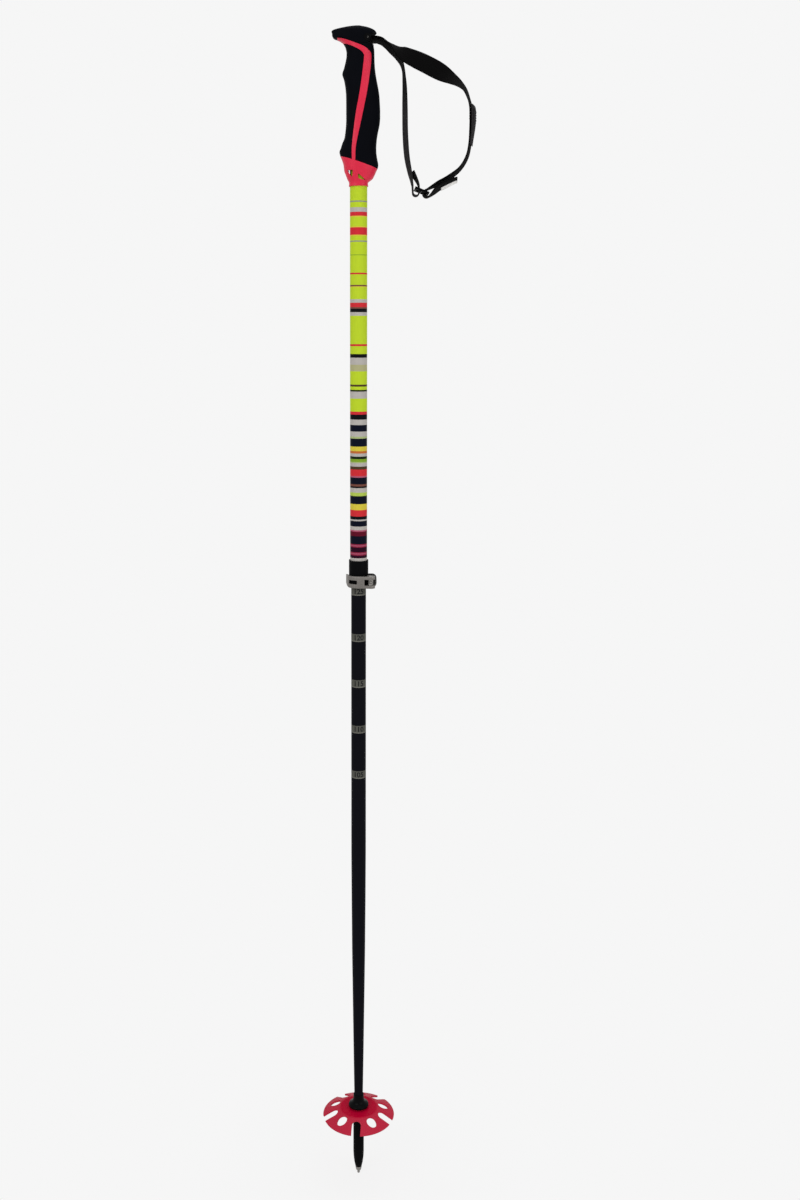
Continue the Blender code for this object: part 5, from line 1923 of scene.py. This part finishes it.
    def build_collar(self) -> None:
        """Build the collar, whose wall flares out to the lip in a hollow curve."""
        top_radius = self.collar_bore + self.collar_wall
        lip_top = self.collar_foot + self.lip_height
        rise = self.collar_top - lip_top
        flare = self.lip_radius - top_radius
        bends = [
            (top_radius + out * flare, lip_top + up * rise, bend_round)
            for out, up, bend_round in self.collar_bends
        ]
        profile = rounded_profile(
            [
                (self.collar_bore, self.collar_foot, self.collar_bore_round),
                (self.lip_radius, self.collar_foot, self.lip_foot_round),
                (self.lip_radius, lip_top, self.lip_top_round),
                *bends,
                (top_radius, self.collar_top, self.collar_top_round),
                (self.collar_bore, self.collar_top, self.collar_bore_round),
            ]
        )
        collar = surface("basket_flared_collar", turned(profile), close_rows=True, caps=False)
        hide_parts("basket_collar")
        place(collar, "lower", COLLAR_PLASTIC.make())


@dataclass
class Tip:
    """Black ferrule with a bullet nose, steel cone and hard metal pin."""

    ferrule_edge: float = 0.3 * MM
    cone_edge: float = 0.2 * MM
    pin_edge: float = 0.1 * MM

    def build(self) -> None:
        """Dress the three pieces of the tip."""
        for node, name, edge, slot, finish in (
            ("tip_ferrule", "tip_bullet_ferrule", self.ferrule_edge, "black_plastic", BLACK_PLASTIC),
            ("tip_collar", "tip_steel_cone", self.cone_edge, "small_steel", PLAIN_STEEL),
            ("tip_pin", "tip_hard_pin", self.pin_edge, "small_steel", CARBIDE),
        ):
            place(softened(node, name, edge), "lower", finish.make())


@dataclass
class Clamp:
    """Lever clamp between the two tubes, with the guide bush inside them."""

    body_edge: float = 0.3 * MM
    lever_edge: float = 0.35 * MM
    nut_edge: float = 0.25 * MM
    small_edge: float = 0.2 * MM
    thin_edge: float = 0.1 * MM

    def build(self) -> None:
        """Dress the clamp's pieces with broken edges and their finishes."""
        black = BLACK_PLASTIC.make()
        pale = PALE_PLASTIC.make()
        metal = LEVER_METAL.make()
        steel = STEEL.make()
        dark = DARK_STEEL.make()
        plain = PLAIN_STEEL.make()
        for node, name, edge, body, slot, material in (
            ("clamp_body", "clamp_collar", self.body_edge, "handle", "black_plastic", black),
            ("clamp_liner", "clamp_split_liner", self.thin_edge, "handle", "pale_plastic", pale),
            ("clamp_lever", "clamp_flip_lever", self.lever_edge, "lever", "lever_metal", metal),
            # The ear plate's dark blackened steel also paints in the shade inside the lever's window
            ("cam_saddle", "clamp_ear_plate", self.small_edge, "handle", "small_steel", dark),
            ("lever_barrel", "clamp_barrel_nut", self.nut_edge, "handle", "small_steel", plain),
            ("tension_bolt", "clamp_bolt", self.small_edge, "bolt", "small_steel", plain),
            ("bolt_washer", "clamp_washer", self.thin_edge, "handle", "small_steel", steel),
            ("guide_bush", "tube_guide_bush", self.small_edge, "carriage", "pale_plastic", pale),
        ):
            place(softened(node, name, edge), body, material)


@dataclass
class Studio:
    """Plain pale floor, soft light and the camera at the photograph's angle."""

    # The camera: frame, focus and centre in pixels of the photograph, place in metres, tilt in degrees
    frame_width: float = 800.0
    frame_height: float = 1200.0
    distance: float = 1.3433
    height: float = 0.94217
    pitch: float = 5.228
    focus: float = 1277.55
    centre_column: float = 358.6
    centre_row: float = 440.0
    sensor_mm: float = 36.0
    nearest: float = 0.01
    backdrop: str = "#F6F6F6"
    floor_radius: float = 3.0
    floor_hole: float = 1.0 * MM
    floor_drop: float = 0.2 * MM
    floor_columns: int = 96
    # The floor's own shade shows by the tip and fades out between these two distances
    shade_near: float = 0.02
    shade_far: float = 0.22
    shade_least: float = 0.92
    soft_light: float = 0.5
    aim: tuple[float, float, float] = (0.0, 0.0, 0.7)
    # Name, place, size in metres and power in watts
    lamps: tuple[tuple[str, tuple[float, float, float], float, float], ...] = (
        ("key", (-1.3, -1.7, 1.9), 1.3, 20.0),
        ("fill", (1.6, -1.5, 1.2), 1.5, 13.0),
        ("top", (0.2, 0.3, 2.6), 1.2, 10.0),
    )

    def build_camera(self) -> None:
        """Place the camera, which has its lens shifted to the photograph's centre of view."""
        lens = bpy.data.cameras.new("camera")
        lens.sensor_width = self.sensor_mm
        lens.lens = self.focus * lens.sensor_width / self.frame_height
        lens.shift_x = (self.frame_width / 2.0 - self.centre_column) / self.frame_height
        lens.shift_y = (self.centre_row - self.frame_height / 2.0) / self.frame_height
        lens.clip_start = self.nearest
        camera = bpy.data.objects.new("camera", lens)
        camera.location = (0.0, -self.distance, self.height)
        camera.rotation_euler = (math.radians(90.0 - self.pitch), 0.0, 0.0)
        bpy.context.scene.collection.objects.link(camera)
        bpy.context.scene.camera = camera

    def looked_at(self, tree: bpy.types.NodeTree) -> bpy.types.NodeSocket:
        """Tell the rays that show a surface from those that light it.

        Args:
            tree: the node tree of the floor or the world.

        Returns:
            1 for rays from the camera and for mirrored and transmitted ones, and 0 for other rays.
        """
        path = add_node(tree, "ShaderNodeLightPath")
        mirrored = add_node(
            tree,
            "ShaderNodeMath",
            {0: path.outputs["Is Glossy Ray"], 1: path.outputs["Is Transmission Ray"]},
            operation="MAXIMUM",
        )
        direct = add_node(
            tree,
            "ShaderNodeMath",
            {0: path.outputs["Is Camera Ray"], 1: mirrored.outputs[0]},
            operation="MAXIMUM",
        )
        return direct.outputs[0]

    def build_floor(self) -> None:
        """Build the floor, which shows the backdrop's tone except for the soft shadow near the tip."""
        disc = np.array([[self.floor_hole, -self.floor_drop], [self.floor_radius, -self.floor_drop]])
        floor = surface("floor", turned(disc, self.floor_columns), caps=False)
        material = bpy.data.materials.new("pale paper floor")
        material.use_nodes = True
        tree = material.node_tree
        tree.nodes.clear()
        tone = linear(self.backdrop)
        plain = add_node(tree, "ShaderNodeEmission", {"Color": tone, "Strength": 1.0})
        lit = add_node(tree, "ShaderNodeBsdfDiffuse", {"Color": tone})
        where = add_node(tree, "ShaderNodeTexCoord").outputs["Object"]
        away = add_node(tree, "ShaderNodeVectorMath", {0: where}, operation="LENGTH")
        far = add_node(
            tree,
            "ShaderNodeMapRange",
            {
                "Value": away.outputs["Value"],
                "From Min": self.shade_near,
                "From Max": self.shade_far,
                "To Min": self.shade_least,
                "To Max": 1.0,
            },
            interpolation_type="SMOOTHSTEP",
        )
        seen = add_node(
            tree,
            "ShaderNodeMath",
            {0: far.outputs["Result"], 1: self.looked_at(tree)},
            operation="MULTIPLY",
        )
        mixed = add_node(
            tree,
            "ShaderNodeMixShader",
            {0: seen.outputs[0], 1: lit.outputs["BSDF"], 2: plain.outputs["Emission"]},
        )
        add_node(tree, "ShaderNodeOutputMaterial", {"Surface": mixed.outputs["Shader"]})
        floor.data.materials.append(material)

    def build_light(self) -> None:
        """Set the soft world light and three large lamps."""
        world = bpy.data.worlds.new("studio")
        world.use_nodes = True
        bpy.context.scene.world = world
        tree = world.node_tree
        tree.nodes.clear()
        shown = add_node(tree, "ShaderNodeBackground", {"Color": linear(self.backdrop), "Strength": 1.0})
        white = linear("#FFFFFF")
        soft = add_node(tree, "ShaderNodeBackground", {"Color": white, "Strength": self.soft_light})
        mixed = add_node(
            tree,
            "ShaderNodeMixShader",
            {0: self.looked_at(tree), 1: soft.outputs["Background"], 2: shown.outputs["Background"]},
        )
        add_node(tree, "ShaderNodeOutputWorld", {"Surface": mixed.outputs["Shader"]})
        for name, spot, size, power in self.lamps:
            lamp = bpy.data.lights.new(name, "AREA")
            lamp.size = size
            lamp.energy = power
            item = bpy.data.objects.new(name, lamp)
            item.location = spot
            way = np.array(self.aim) - np.array(spot)
            tilt = math.atan2(math.hypot(way[0], way[1]), -way[2])
            heading = math.atan2(way[1], way[0]) - math.pi / 2.0
            item.rotation_euler = (tilt, 0.0, heading)
            bpy.context.scene.collection.objects.link(item)

    def build(self) -> None:
        """Build camera, floor and lights, and set plain colours."""
        bpy.context.scene.view_settings.view_transform = "Standard"
        self.build_camera()
        self.build_floor()
        self.build_light()


def main() -> None:
    """Build the studio and every sub-assembly of the pole."""
    logging.basicConfig(level=logging.INFO, format="%(name)s: %(message)s")
    Studio().build()
    tubes = Tubes()
    tubes.build_upper()
    tubes.build_lower()
    Grip().build()
    Strap().build()
    Basket().build()
    Tip().build()
    Clamp().build()


if __name__ == "__main__":
    main()
